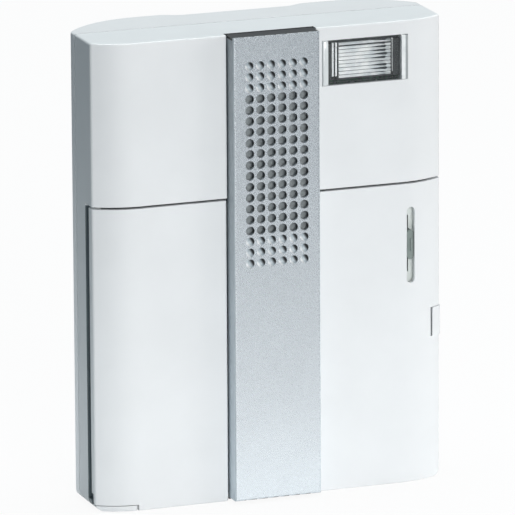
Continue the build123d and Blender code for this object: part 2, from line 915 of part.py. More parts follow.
def strip_core():
    half, front, back, low, high = core_limits()
    body = block(-half, half, front, back, low, high)
    inner = half - core_rail
    body -= block(-inner, inner, front + core_wall, back + overrun, low + core_end, high - core_end)
    x, z = grille_half_width(), grille_half_height()
    body -= block(-x, x, front - overrun, front + 2 * core_wall, grille_z - z, grille_z + z)
    # cap over the strip's open end, and flanges that its side walls stand on
    cap_low = half_height - end_rebate + touch_gap
    body += block(-strip_half, strip_half, strip_y + end_lip + touch_gap, back, cap_low, high)
    outer = hinge_x - corner_reach - touch_gap
    for sign in (-1, 1):
        x0, x1 = sorted((sign * inner, sign * outer))
        body += block(x0, x1, back - core_flange, back, low, high)
    return body


def speaker_cloth():
    front = core_limits()[1] + core_wall + touch_gap
    x = core_limits()[0] - core_rail - touch_gap
    z = grille_half_height() + cloth_margin
    return block(-x, x, front, front + cloth_wall, grille_z - z, grille_z + z)


def gasket_y():
    return floor_y + spine_wall


def speaker_gasket():
    y = gasket_y()
    ring = rod_y(speaker_radius, 0, grille_z, y, y + gasket_wall)
    inner = speaker_radius - gasket_width
    return ring - rod_y(inner, 0, grille_z, y - overrun, y + gasket_wall + overrun)


def speaker_basket():
    y = gasket_y() + gasket_wall
    front = rod_y(speaker_radius, 0, grille_z, y, y + flange_wall)
    for z in speaker_screw_places():
        front += rod_y(ear_radius, 0, z, y, y + flange_wall)
        z0, z1 = sorted((z, grille_z))
        front += block(-ear_radius, ear_radius, y, y + flange_wall, z0, z1)
    throat = speaker_radius - gasket_width
    back = y + basket_depth
    rim = y + basket_rim_depth
    inner = throat - basket_wall
    bowl = rod_y(throat, 0, grille_z, y, rim) + cone_y(basket_back_radius, throat, 0, grille_z, back, rim)
    body = front + bowl - rod_y(inner, 0, grille_z, y - overrun, rim)
    body -= cone_y(basket_back_radius - basket_wall, inner, 0, grille_z, back - basket_wall, rim)
    for index in range(basket_windows):
        angle = (index + 1 / 2) * 360 / basket_windows
        cut = block(-window_width / 2, window_width / 2, rim + basket_wall, back - 2 * basket_wall,
                    cone_throat + basket_wall, 2 * speaker_radius)
        body -= Pos(0, 0, grille_z) * Rot(0, angle, 0) * cut
    for z in speaker_screw_places():
        body -= rod_y(speaker_screw_radius + pin_gap, 0, z, y - overrun, y + flange_wall + overrun)
    body -= rod_y(cone_throat, 0, grille_z, back - 2 * basket_wall, back + overrun)
    return body


def speaker_surround():
    y = gasket_y() + gasket_wall
    outer = speaker_radius - gasket_width - basket_wall - touch_gap
    ring = Pos(0, y + surround_width / 2, grille_z) * Rot(90, 0, 0) * Torus(
        outer - surround_width / 2, surround_width / 2)
    front = block(-outer, outer, y - surround_width, y + surround_width / 2, grille_z - outer, grille_z + outer)
    inner = Pos(0, y + surround_width / 2, grille_z) * Rot(90, 0, 0) * Torus(
        outer - surround_width / 2, surround_width / 2 - surround_wall)
    return (ring & front) - inner


def speaker_cone():
    y = gasket_y() + gasket_wall + surround_width / 2
    outer = speaker_radius - gasket_width - basket_wall - 2 * touch_gap - surround_width
    body = cone_y(cone_throat / 2, outer, 0, grille_z, y + cone_depth, y)
    hollow = cone_y(cone_throat / 2, outer, 0, grille_z, y + cone_depth - cone_wall, y - cone_wall)
    cap = (dust_cap_rise ** 2 + cone_throat ** 2) / (2 * dust_cap_rise)
    cap_y = y + cone_depth - dust_cap_rise
    dome = Pos(0, cap_y + cap - dust_cap_rise, grille_z) * Sphere(cap)
    dome &= rod_y(cone_throat, 0, grille_z, cap_y - dust_cap_rise - overrun, cap_y + cone_wall)
    return body - hollow + (dome & body)


def magnet_y():
    return gasket_y() + gasket_wall + basket_depth


def speaker_magnet():
    y = magnet_y() + touch_gap
    ring = rod_y(magnet_radius, 0, grille_z, y, y + magnet_height)
    ring += rod_y(back_plate_radius, 0, grille_z, y + magnet_height, y + magnet_height + back_plate_wall)
    return ring


def speaker_screws():
    y = gasket_y() + gasket_wall + flange_wall
    screws = []
    for z in speaker_screw_places():
        shank = rod_y(speaker_screw_radius, 0, z, gasket_y() - speaker_screw_bite, y)
        head = rod_y(speaker_screw_head, 0, z, y, y + speaker_screw_head_height)
        slot = block(-2 * speaker_screw_head, 2 * speaker_screw_head,
                     y + speaker_screw_head_height - screw_slot_depth, y + 2 * speaker_screw_head_height,
                     z - screw_slot_width / 2, z + screw_slot_width / 2)
        screws.append(shank + head - slot)
    return together(screws)


def lens_limits():
    x0, x1 = lens_inner, lens_inner + lens_width
    return x0, x1, lens_top - lens_height, lens_top


def flash_lens():
    x0, x1, z0, z1 = lens_limits()
    front = front_y - lens_proud
    back = front + lens_depth
    body = block(x0, x1, front, back, z0, z1)
    rim = [e for e in body.edges() if abs(e.center().Y - front) < touch_gap]
    body = fillet(rim, lens_round)
    flange_y = front_y + wall + touch_gap
    flange = block(x0 - lens_flange, x1 + lens_flange, flange_y, flange_y + lens_flange_wall,
                   z0 - lens_flange, z1 + lens_flange)
    body += flange & raised(front_plan(wall + touch_gap, parting_y), -half_height, half_height)
    body -= block(x0 + lens_wall, x1 - lens_wall, front + lens_wall, case_depth, z0 + lens_wall, z1 - lens_wall)
    pitch = (lens_height - 2 * lens_wall - bezel_top - bezel_bottom) / lens_ribs
    bottom = z0 + lens_wall + bezel_bottom
    for index in range(lens_ribs):
        z = bottom + (index + 1 / 2) * pitch
        rib = rod_x(pitch / 2, front + lens_wall + lens_rib_depth - pitch / 2, z, x0 + rib_inset, x0 + rib_inset + rib_span)
        rib &= block(x0, x1, front + lens_wall - touch_gap, back, z0, z1)
        body += rib
    return body


def bezel_limits():
    x0, x1, z0, z1 = lens_limits()
    step = lens_wall + bezel_gap
    return x0 + bezel_side_space, x1 - bezel_side_space, z0 + step, z1 - step


def reflector_limits():
    x0, x1, z0, z1 = bezel_limits()
    return x0 + bezel_left, x1 - bezel_right, z0 + bezel_bottom, z1 - bezel_top


def bezel_y():
    return front_y - lens_proud + lens_wall + lens_rib_depth + fit_gap


def flash_bezel():
    x0, x1, z0, z1 = bezel_limits()
    y = bezel_y()
    body = block(x0, x1, y, y + bezel_depth, z0, z1)
    a0, a1, b0, b1 = reflector_limits()
    return body - block(a0, a1, y - overrun, y + bezel_depth + overrun, b0, b1)


def flash_reflector():
    a0, a1, b0, b1 = reflector_limits()
    y = bezel_y() + bezel_depth + touch_gap
    middle = (b0 + b1) / 2
    outer = (b1 - b0) / 2 + reflector_wall

    def trough(radius, x0, x1, reach):
        # half of a flattened tube, open to the front
        face = Plane.YZ * Ellipse(reach, radius)
        body = Pos(x0, y, middle) * extrude(face, amount=x1 - x0)
        return body & block(x0, x1, y, y + 2 * reach, middle - radius, middle + radius)

    body = trough(outer, a0 - reflector_wall, a1 + reflector_wall, reflector_depth)
    inner = outer - reflector_wall
    body -= trough(inner, a0, a1, reflector_depth - reflector_wall)
    ends = rod_x(tube_radius + pin_gap, y + tube_seat, middle, a0 - overrun - reflector_wall, a1 + overrun + reflector_wall)
    return body - ends


def tube_line():
    a0, a1, b0, b1 = reflector_limits()
    return (a0 + a1) / 2, bezel_y() + bezel_depth + touch_gap + tube_seat, (b0 + b1) / 2


def flash_tube():
    x, y, z = tube_line()
    half = (reflector_limits()[1] - reflector_limits()[0]) / 2 + reflector_wall + tube_cap_length / 2
    return rod_x(tube_radius, y, z, x - half, x + half)


def flash_tube_caps():
    x, y, z = tube_line()
    half = (reflector_limits()[1] - reflector_limits()[0]) / 2 + reflector_wall + tube_cap_length / 2
    caps = []
    for sign in (-1, 1):
        x0, x1 = sorted((x + sign * half, x + sign * (half + tube_cap_length)))
        cap = rod_x(tube_cap_radius, y, z, x0, x1)
        lead_x = x + sign * (half + tube_cap_length - resistor_lead_radius)
        cap += rod_y(resistor_lead_radius, lead_x, z, y, flash_board_y())
        caps.append(cap)
    return together(caps)


def flash_board_y():
    return bezel_y() + bezel_depth + touch_gap + reflector_depth + touch_gap


def flash_board():
    x0, x1, z0, z1 = bezel_limits()
    y = flash_board_y()
    margin = flash_board_margin
    return block(x0 - margin, x1 + margin, y, y + flash_board_wall, z0, z1)


def flash_posts():
    x0, x1, z0, z1 = bezel_limits()
    y = flash_board_y() + flash_board_wall
    reach = flash_board_margin - post_radius
    posts = []
    for z in (z0 + post_radius, z1 - post_radius):
        for x in (x0 - reach, x1 + reach):
            posts.append(rod_y(post_radius, x, z, y, board_front))
    return together(posts)


def main_board():
    bottom = -inner_top + board_bottom_space
    body = block(-board_side, board_side, board_front, board_back, board_split, board_top)
    body += block(board_inner, board_side, board_front, board_back, bottom, board_split)
    for x, z in board_holes():
        body -= rod_y(board_screw_radius + pin_gap, x, z, board_front - overrun, board_back + overrun)
    for z in (low_screw_z, high_screw_z):
        body -= rod_y(boss_radius + fit_gap, screw_x, z, board_front - overrun, board_back + overrun)
    return body


def board_screws():
    screws = []
    for x, z in board_holes():
        shank = rod_y(board_screw_radius, x, z, board_front, board_back + board_post_radius)
        head = rod_y(board_screw_head, x, z, board_front - board_screw_head_height, board_front)
        slot = block(x - 2 * board_screw_head, x + 2 * board_screw_head,
                     board_front - 2 * board_screw_head_height,
                     board_front - board_screw_head_height + screw_slot_depth,
                     z - screw_slot_width / 2, z + screw_slot_width / 2)
        screws.append(shank + head - slot)
    return together(screws)


def chip(x, z, width, height, legs):
    # a chip with two rows of legs, standing on the board
    top = board_front - chip_wall
    body = block(x - width / 2, x + width / 2, top, board_front - leg_wall, z - height / 2, z + height / 2)
    step = width / legs
    for index in range(legs):
        at = x - width / 2 + (index + 1 / 2) * step
        for sign in (-1, 1):
            z0, z1 = sorted((z + sign * (height / 2 - leg_wall), z + sign * (height / 2 + leg_reach)))
            body += block(at - leg_width / 2, at + leg_width / 2, board_front - 2 * leg_wall, board_front, z0, z1)
    return body


def can(radius, length, x, z):
    # a standing capacitor with the groove near its foot
    top = board_front - length
    body = rod_y(radius, x, z, top, board_front)
    body = fillet([e for e in body.edges() if abs(e.center().Y - top) < touch_gap], can_groove)
    ring_y = board_front - 2 * can_groove
    ring = rod_y(radius + overrun, x, z, ring_y - can_groove, ring_y)
    return body - (ring - rod_y(radius - can_groove, x, z, ring_y - can_groove, ring_y))


def flash_capacitor():
    # lies along Z on the board
    y = board_front - big_can_radius
    half = big_can_length / 2
    body = rod_z(big_can_radius, big_can_x, y, big_can_z - half, big_can_z + half)
    body = fillet([e for e in body.edges() if abs(e.center().Z - big_can_z) > half - touch_gap], can_groove)
    ring = rod_z(big_can_radius + overrun, big_can_x, y, big_can_z - half + 3 * can_groove, big_can_z - half + 5 * can_groove)
    return body - (ring - rod_z(big_can_radius - can_groove, big_can_x, y, big_can_z - half, big_can_z + half))


def small_capacitors():
    return together(can(can_radius, can_length, can_first_x + index * can_step, can_z) for index in range(can_places))


def trigger_coil():
    half = coil_length / 2
    y = board_front - coil_radius
    body = rod_x(coil_radius - coil_flange_wall, y, coil_z, coil_x - half, coil_x + half)
    for sign in (-1, 1):
        x0, x1 = sorted((coil_x + sign * (half - coil_flange_wall), coil_x + sign * half))
        body += block(x0, x1, board_front - 2 * coil_radius, board_front, coil_z - coil_radius, coil_z + coil_radius)
    return body + rod_x(coil_core_radius, y, coil_z, coil_x - half - coil_flange_wall, coil_x + half + coil_flange_wall)


def resistors():
    # one resistor with its bent leads, and its copies along the row
    half = resistor_length / 2
    y = board_front - resistor_radius
    reach = half + resistor_lead_reach
    lead = rod_z(resistor_lead_radius, 0, y, resistor_z - reach, resistor_z + reach)
    for sign in (-1, 1):
        z = resistor_z + sign * (reach - resistor_lead_radius)
        lead += rod_y(resistor_lead_radius, 0, z, y, board_front)
    body = rod_z(resistor_radius, 0, y, resistor_z - half, resistor_z + half)
    one = body + lead
    return together(Pos(resistor_first_x + index * resistor_step, 0, 0) * one for index in range(resistor_count))


def slider_housing():
    half = pot_length / 2
    top = board_front - pot_height
    body = block(slot_x - pot_width / 2, slot_x + pot_width / 2, top, board_front, slot_z - half, slot_z + half)
    reach = slide_reach + lever_length / 2 + fit_gap
    slit = block(lever_x - pot_slit / 2, lever_x + pot_slit / 2, top - overrun, board_front - 2 * trough_wall,
                 slot_z - reach, slot_z + reach)
    return body - slit


def trough_y():
    return front_y + trough_floor_drop


def slider_trough():
    # pale channel behind the slot of the door, standing on the potentiometer
    half_length = slot_length / 2 + trough_margin
    y = trough_y()
    rim = front_y + door_wall + 2 * fit_gap
    foot = board_front - pot_height
    outer = trough_half + trough_wall
    body = block(slot_x - outer, slot_x + outer, rim, foot, slot_z - half_length, slot_z + half_length)
    body -= block(slot_x - trough_half, slot_x + trough_half, rim - overrun, y, slot_z - half_length + trough_wall,
                  slot_z + half_length - trough_wall)
    body -= block(slot_x - trough_half, slot_x + trough_half, y + trough_wall, foot + overrun,
                  slot_z - half_length + trough_wall, slot_z + half_length - trough_wall)
    reach = slide_reach + lever_length / 2 + fit_gap
    body -= block(lever_x - pot_slit / 2, lever_x + pot_slit / 2, rim, foot, slot_z - reach, slot_z + reach)
    return body & raised(front_plan(door_wall + 2 * fit_gap, 0), -half_height, half_height)


def slider_lever():
    half = lever_width / 2
    y = board_front - 3 * trough_wall
    return block(lever_x - half, lever_x + half, trough_y() - 2 * trough_wall, y,
                 slot_z - lever_length / 2, slot_z + lever_length / 2)


def volume_knob():
    top = front_y + knob_drop
    foot = trough_y() - fit_gap
    half, long = knob_width / 2, knob_length / 2
    body = block(slot_x - half, slot_x + half, top, foot, slot_z - long + half, slot_z + long - half)
    for sign in (-1, 1):
        body += rod_y(half, slot_x, slot_z + sign * (long - half), top, foot)
    ridge = block(slot_x, slot_x + knob_ridge_width, top - knob_ridge_rise, top,
                  slot_z - knob_ridge_length / 2, slot_z + knob_ridge_length / 2)
    body += ridge
    socket = block(lever_x - lever_width / 2, lever_x + lever_width / 2, trough_y() - 2 * trough_wall, foot + overrun,
                   slot_z - lever_length / 2, slot_z + lever_length / 2)
    return body - socket


def panel_limits():
    return panel_inner, inner_half - panel_side_space, panel_bottom, ledge_z - panel_top_space


def control_panel():
    x0, x1, z0, z1 = panel_limits()
    back = panel_y + panel_wall
    body = block(x0, x1, panel_y, back, z0, z1)
    for x in (melody_x, learn_x):
        body -= rod_y(button_radius + fit_gap, x, button_z, panel_y - overrun, back + overrun)
    reach = mode_travel + mode_lever_half + fit_gap
    body -= block(mode_x - reach, mode_x + reach, panel_y - overrun, back + overrun,
                  mode_z - mode_lever_half - fit_gap, mode_z + mode_lever_half + fit_gap)
    half_length = slot_length / 2 + trough_margin + fit_gap
    outer = trough_half + trough_wall + fit_gap
    body -= block(slot_x - outer, slot_x + outer, panel_y - overrun, back + overrun,
                  slot_z - half_length, slot_z + half_length)
    left = x0 + post_radius
    right = board_side - post_radius
    foot = z0 + post_radius
    for x, z in ((left, foot), (left, z1 - post_radius), (right, foot), (right, button_z - 2 * button_flange)):
        body += rod_y(post_radius, x, z, back - touch_gap, board_front)
    return body


def button(x):
    # cap, a flange that the panel keeps in, and a stem that ends at the switch
    back = panel_y + panel_wall
    flange_y = back + touch_gap
    base = board_front - switch_height
    body = rod_y(button_radius, x, button_z, panel_y - button_rise, flange_y)
    top = [e for e in body.edges() if abs(e.center().Y - panel_y + button_rise) < touch_gap]
    body = fillet(top, leg_width)
    body += rod_y(button_flange, x, button_z, flange_y, flange_y + button_flange_wall)
    return body + rod_y(button_stem, x, button_z, flange_y, base - button_travel - touch_gap)


def button_switches():
    group = []
    base = board_front - switch_height
    for x in (melody_x, learn_x):
        body = block(x - switch_half, x + switch_half, base, board_front, button_z - switch_half, button_z + switch_half)
        group.append(body)
    return together(group)


def mode_housing():
    top = board_front - mode_body_height
    body = block(mode_x - mode_body_half, mode_x + mode_body_half, top, board_front,
                 mode_z - mode_body_tall_half, mode_z + mode_body_tall_half)
    reach = mode_travel + mode_stem_half + fit_gap
    slit = block(mode_x - reach, mode_x + reach, top - overrun, board_front - 2 * leg_wall,
                 mode_z - mode_stem_half - fit_gap, mode_z + mode_stem_half + fit_gap)
    return body - slit


def mode_switch():
    top = panel_y - mode_rise
    base = board_front - mode_body_height - fit_gap
    body = block(mode_x - mode_lever_half, mode_x + mode_lever_half, top, base,
                 mode_z - mode_lever_half, mode_z + mode_lever_half)
    stem = block(mode_x - mode_stem_half, mode_x + mode_stem_half, base, board_front - 4 * leg_wall,
                 mode_z - mode_stem_half, mode_z + mode_stem_half)
    return body + stem


def terminal_places():
    return [terminal_x + (index + 1 / 2) * terminal_pitch for index in range(terminal_count)]


def terminal_block():
    x1 = terminal_x + terminal_count * terminal_pitch
    top = board_front - terminal_depth
    body = block(terminal_x, x1, top, board_front, terminal_z, terminal_z + terminal_height)
    middle = terminal_z + terminal_height / 2
    for x in terminal_places():
        body -= rod_y(terminal_well_radius, x, middle, top - overrun, top + terminal_well_depth)
        y = board_front - terminal_depth / 2 + terminal_wire_half
        body -= block(x - terminal_wire_half, x + terminal_wire_half, y - terminal_wire_half, y + terminal_wire_half,
                      terminal_z - overrun, terminal_z + terminal_wire_depth)
    return body


def terminal_screws():
    top = board_front - terminal_depth + terminal_well_depth
    middle = terminal_z + terminal_height / 2
    screws = []
    for x in terminal_places():
        head = rod_y(terminal_screw_radius, x, middle, top - terminal_well_depth / 2, top)
        slot = block(x - terminal_screw_radius - overrun, x + terminal_screw_radius + overrun,
                     top - terminal_well_depth, top - terminal_well_depth / 2 + screw_slot_depth,
                     middle - screw_slot_width / 2, middle + screw_slot_width / 2)
        screws.append(head - slot)
    return together(screws)


def tray_limits():
    x0 = -inner_half + fit_gap
    radius = cell_radius + tray_gap
    first = x0 + tray_wall + radius
    second = first + 2 * radius + column_rib
    x1 = second + radius + tray_wall
    return x0, x1, tray_low, tray_high, first, second


def battery_tray():
    x0, x1, z0, z1, first, second = tray_limits()
    radius = cell_radius + tray_gap
    back = cell_y + radius + tray_wall
    body = block(x0, x1, tray_front, cell_y, z0, z1)
    for x in (first, second):
        body += rod_z(radius + tray_wall, x, cell_y, z0, z1)
    body &= block(x0, x1, tray_front, back, z0, z1)
    body &= raised(back_plan(wall + fit_gap, tray_front - overrun), z0 - overrun, z1 + overrun)
    low, high = z0 + tray_end_wall, z1 - tray_end_wall
    for x in (first, second):
        body -= rod_z(radius, x, cell_y, low, high)
        body -= block(x - radius, x + radius, tray_front - overrun, cell_y, low, high)
    return body


def column(x, turned):
    # two cells in line, with the spring at the foot, or at the head where the column is turned
    z0, z1 = tray_limits()[2:4]
    low, high = z0 + tray_end_wall, z1 - tray_end_wall
    base = contact_wall + spring_room + cell_gap

    def place(distance):
        return high - distance if turned else low + distance

    cells = []
    for index in range(2):
        start = base + index * (cell_length + cell_gap)
        a, b = sorted((place(start), place(start + cell_length - cell_nub_height)))
        can_body = rod_z(cell_radius, x, cell_y, a, b)
        can_body = fillet([e for e in can_body.edges() if e.center().Z < a + touch_gap or e.center().Z > b - touch_gap],
                          cell_edge)
        a, b = sorted((place(start + cell_length - 2 * cell_nub_height), place(start + cell_length)))
        cells.append(can_body + rod_z(cell_nub_radius, x, cell_y, a, b))
    a, b = sorted((place(0), place(contact_wall)))
    spring_plate = block(x - contact_half, x + contact_half, tray_front, cell_y + contact_half, a, b)
    c, d = sorted((place(high - low), place(high - low - contact_wall)))
    flat_plate = block(x - contact_half, x + contact_half, tray_front, cell_y + contact_half, c, d)
    spring = coil_spring(spring_radius, spring_wire, spring_turns, spring_room)
    if turned:
        spring = Pos(x, cell_y, place(contact_wall)) * Rot(180, 0, 0) * spring
    else:
        spring = Pos(x, cell_y, place(contact_wall)) * spring
    return cells, [spring_plate, flat_plate], spring


def grommet():
    # sits in the cable entry of the shell
    outer_y = -waist_drop
    inner_y = outer_y - wall
    body = rod_y(entry_radius - touch_gap, 0, wall_screw_middle, inner_y, outer_y)
    body += rod_y(grommet_flange, 0, wall_screw_middle, inner_y - grommet_flange_wall, inner_y)
    body += rod_y(grommet_flange, 0, wall_screw_middle, outer_y, outer_y + grommet_flange_wall)
    return body - rod_y(grommet_bore, 0, wall_screw_middle, -case_depth, overrun)


def case_screw(x, z, y):
    # y is the face under the head
    shank = rod_y(case_screw_radius, x, z, y, y + lug_wall + fit_gap)
    shank += rod_y(case_screw_bore - pin_seat_gap, x, z, y, y + lug_wall + fit_gap + case_screw_bite)
    head = rod_y(case_screw_head, x, z, y - case_screw_head_height, y)
    cross = block(x - case_screw_radius, x + case_screw_radius,
                  y - 2 * case_screw_head_height, y - case_screw_head_height + screw_slot_depth,
                  z - screw_slot_width / 2, z + screw_slot_width / 2)
    turned = Pos(x, 0, z) * Rot(0, 90, 0) * Pos(-x, 0, -z) * cross
    return shank + head - cross - turned


def case_screws():
    under_head = floor_y + spine_wall + web_depth - lug_wall
    return together(case_screw(screw_x, z, under_head) for z in (low_screw_z, high_screw_z))


def build():
    nodes = {
        "back_shell": back_shell(),
        "front_housing": front_housing(),
        "trim_strip": trim_strip(),
        "strip_core": strip_core(),
        "speaker_cloth": speaker_cloth(),
        "speaker_gasket": speaker_gasket(),
        "speaker_basket": speaker_basket(),
        "speaker_surround": speaker_surround(),
        "speaker_cone": speaker_cone(),
        "speaker_magnet": speaker_magnet(),
        "speaker_screws": speaker_screws(),
        "flash_lens": flash_lens(),
        "flash_bezel": flash_bezel(),
        "flash_reflector": flash_reflector(),
        "flash_tube": flash_tube(),
        "flash_tube_caps": flash_tube_caps(),
        "flash_board": flash_board(),
        "flash_posts": flash_posts(),
        "main_board": main_board(),
        "board_screws": board_screws(),
        "sound_chip": chip(chip_x, chip_z, chip_width, chip_height, chip_legs),
        "driver_chip": chip(chip_x, driver_z, driver_width, driver_height, driver_legs),
        "flash_capacitor": flash_capacitor(),
        "small_capacitors": small_capacitors(),
        "trigger_coil": trigger_coil(),
        "resistors": resistors(),
        "slider_housing": slider_housing(),
        "slider_trough": slider_trough(),
        "slider_lever": slider_lever(),
        "volume_knob": volume_knob(),
        "control_panel": control_panel(),
        "melody_button": button(melody_x),
        "learn_button": button(learn_x),
        "button_switches": button_switches(),
        "mode_housing": mode_housing(),
        "mode_switch": mode_switch(),
        "terminal_block": terminal_block(),
        "terminal_screws": terminal_screws(),
        "battery_tray": battery_tray(),
        "left_door": left_door(),
        "right_door": right_door(),
        "left_hinge_pins": hinge_pins(),
        "right_hinge_pins": mirrored(hinge_pins()),
        "latch_tab": latch_tab(),
        "latch_spring": latch_spring(),
        "case_screws": case_screws(),
        "cable_grommet": grommet(),
    }
    first, second = tray_limits()[4:6]
    cells_a, plates_a, spring_a = column(first, False)
    cells_b, plates_b, spring_b = column(second, True)
    for index, cell in enumerate(cells_a + cells_b):
        nodes["battery_cell_" + str(index + 1)] = cell
    nodes["battery_contacts"] = together(plates_a + plates_b)
    nodes["battery_springs"] = together([spring_a, spring_b])
    return nodes


for name, solid in build().items():
    export_step(solid, "parts/" + name + ".step")
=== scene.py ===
import bpy
import bmesh
import math
from mathutils import Matrix, Vector


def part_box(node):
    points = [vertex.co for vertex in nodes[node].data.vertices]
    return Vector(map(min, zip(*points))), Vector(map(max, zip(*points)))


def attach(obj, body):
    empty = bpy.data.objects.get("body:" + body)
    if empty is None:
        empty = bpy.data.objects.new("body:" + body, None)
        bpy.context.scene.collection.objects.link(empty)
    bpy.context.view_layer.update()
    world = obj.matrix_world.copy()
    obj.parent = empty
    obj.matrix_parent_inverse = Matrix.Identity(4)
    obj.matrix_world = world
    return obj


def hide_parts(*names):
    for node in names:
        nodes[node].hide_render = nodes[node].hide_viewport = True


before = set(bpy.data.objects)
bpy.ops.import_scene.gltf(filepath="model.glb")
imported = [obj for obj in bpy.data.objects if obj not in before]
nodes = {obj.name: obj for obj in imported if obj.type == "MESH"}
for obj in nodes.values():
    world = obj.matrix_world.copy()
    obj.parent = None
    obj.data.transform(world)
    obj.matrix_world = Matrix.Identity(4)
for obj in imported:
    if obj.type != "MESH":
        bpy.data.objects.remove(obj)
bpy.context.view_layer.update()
bpy.ops.object.select_all(action="DESELECT")
mm = 0.001

# camera, fitted to edges and hole centres of the case in the photograph
cameraPlace = {
    "aim": (0, -44, 0),
    "turn": -20.32,
    "rise": 14.26,
    "roll": -0.3,
    "distance": 2900,
    "lens": 525.3,
    "sensor": 36,
    "shift": (-0.0286, 0.0162),
    "clip": (50, 60000),
}


def addCamera(place):
    turn, rise = math.radians(place["turn"]), math.radians(place["rise"])
    away = Vector((math.sin(turn) * math.cos(rise), -math.cos(turn) * math.cos(rise), math.sin(rise)))
    data = bpy.data.cameras.new("photoCamera")
    data.lens = place["lens"]
    data.sensor_width = place["sensor"]
    data.shift_x, data.shift_y = place["shift"]
    data.clip_start, data.clip_end = (end * mm for end in place["clip"])
    camera = bpy.data.objects.new("photoCamera", data)
    bpy.context.collection.objects.link(camera)
    camera.location = (Vector(place["aim"]) + away * place["distance"]) * mm
    roll = Matrix.Rotation(math.radians(place["roll"]), 3, "Z")
    camera.rotation_euler = ((-away).to_track_quat("-Z", "Y").to_matrix() @ roll).to_euler()
    bpy.context.scene.camera = camera


addCamera(cameraPlace)
bpy.context.scene.view_settings.view_transform = "Standard"
print("camera is in place")


# shader maths: a socket that can stand in a sum, and a material that makes its nodes
class Wire:
    def __init__(self, finish, socket):
        self.finish = finish
        self.socket = socket

    def out(self, name):
        return Wire(self.finish, self.socket.node.outputs[name])

    def maths(self, operation, *others):
        return self.finish.add("Math", {"operation": operation}, dict(enumerate((self,) + others)))

    def __add__(self, other):
        return self.maths("ADD", other)

    def __radd__(self, other):
        return self.maths("ADD", other)

    def __sub__(self, other):
        return self.maths("SUBTRACT", other)

    def __rsub__(self, other):
        return self.finish.add("Math", {"operation": "SUBTRACT"}, {0: other, 1: self})

    def __mul__(self, other):
        return self.maths("MULTIPLY", other)

    def __rmul__(self, other):
        return self.maths("MULTIPLY", other)

    def __truediv__(self, other):
        return self.maths("DIVIDE", other)

    def __gt__(self, other):
        return self.maths("GREATER_THAN", other)

    def __lt__(self, other):
        return self.maths("LESS_THAN", other)


# nearly all values of a noise lie between these two
noiseSpan = (0.3, 0.7)


class Finish:
    def __init__(self, name, constants=None, world=None):
        if world:
            self.tree = world.node_tree
        else:
            self.material = bpy.data.materials.new(name)
            self.material.use_nodes = True
            self.tree = self.material.node_tree
        self.tree.nodes.clear()
        self.spots = None
        if not world:
            self.surface = self.add("BsdfPrincipled", {}, constants)
            self.end = self.add("OutputMaterial", {}, {"Surface": self.surface}, bare=True)

    def add(self, kind, settings=None, sockets=None, bare=False):
        node = self.tree.nodes.new("ShaderNode" + kind)
        for name, value in (settings or {}).items():
            setattr(node, name, value)
        for name, value in (sockets or {}).items():
            self.feed(node.inputs[name], value)
        return node if bare else Wire(self, node.outputs[0])

    def feed(self, socket, value):
        if isinstance(value, Wire):
            self.tree.links.new(value.socket, socket)
        else:
            socket.default_value = value

    def set(self, name, value):
        self.feed(self.surface.socket.node.inputs[name], value)

    def spot(self):
        # object coordinates, in metres
        if self.spots is None:
            self.spots = self.add("TexCoord").out("Object")
        return self.spots

    def axes(self, names="XYZ"):
        split = self.add("SeparateXYZ", {}, {0: self.spot()})
        return [split.out(name) for name in names]

    def stretched(self, size):
        return self.add("Mapping", {}, {"Vector": self.spot(), "Scale": size})

    def noise(self, size, detail, rough=0.5, vector=None):
        # size is the width of one patch, in millimetres
        return self.add("TexNoise", {}, {
            "Vector": vector or self.spot(), "Scale": 1 / (size * mm), "Detail": detail, "Roughness": rough,
        })

    def cells(self, size):
        return self.add("TexVoronoi", {}, {"Vector": self.spot(), "Scale": 1 / (size * mm)})

    def between(self, value, low, high, start=0.0, end=1.0):
        return self.add("MapRange", {"clamp": True}, {0: value, 1: low, 2: high, 3: start, 4: end})

    def patchy(self, size, detail, low, high, **more):
        # noise, as values from low to high
        return self.between(self.noise(size, detail, **more), *noiseSpan, low, high)

    def blend(self, share, first, second):
        return self.add("Mix", {"data_type": "RGBA"}, {0: share, 6: first, 7: second}).out("Result")

    def dimmed(self, colour, by):
        return self.add("VectorMath", {"operation": "SCALE"}, {0: colour, "Scale": by})

    def bump(self, height, depth, normal=None):
        # depth in millimetres for a height of 0 to 1
        sockets = {"Height": height, "Distance": depth * mm, "Strength": 1.0}
        if normal:
            sockets["Normal"] = normal
        return self.add("Bump", {}, sockets)


def shade(red, green, blue):
    # a screen colour of 0 to 255, as the linear colour that the shader reads
    def straight(part):
        part /= 255
        return part / 12.92 if part <= 0.04045 else ((part + 0.055) / 1.055) ** 2.4
    return (straight(red), straight(green), straight(blue), 1)


def scaled(colour, by):
    return tuple(min(part * by, 1) for part in colour[:3]) + (1,)


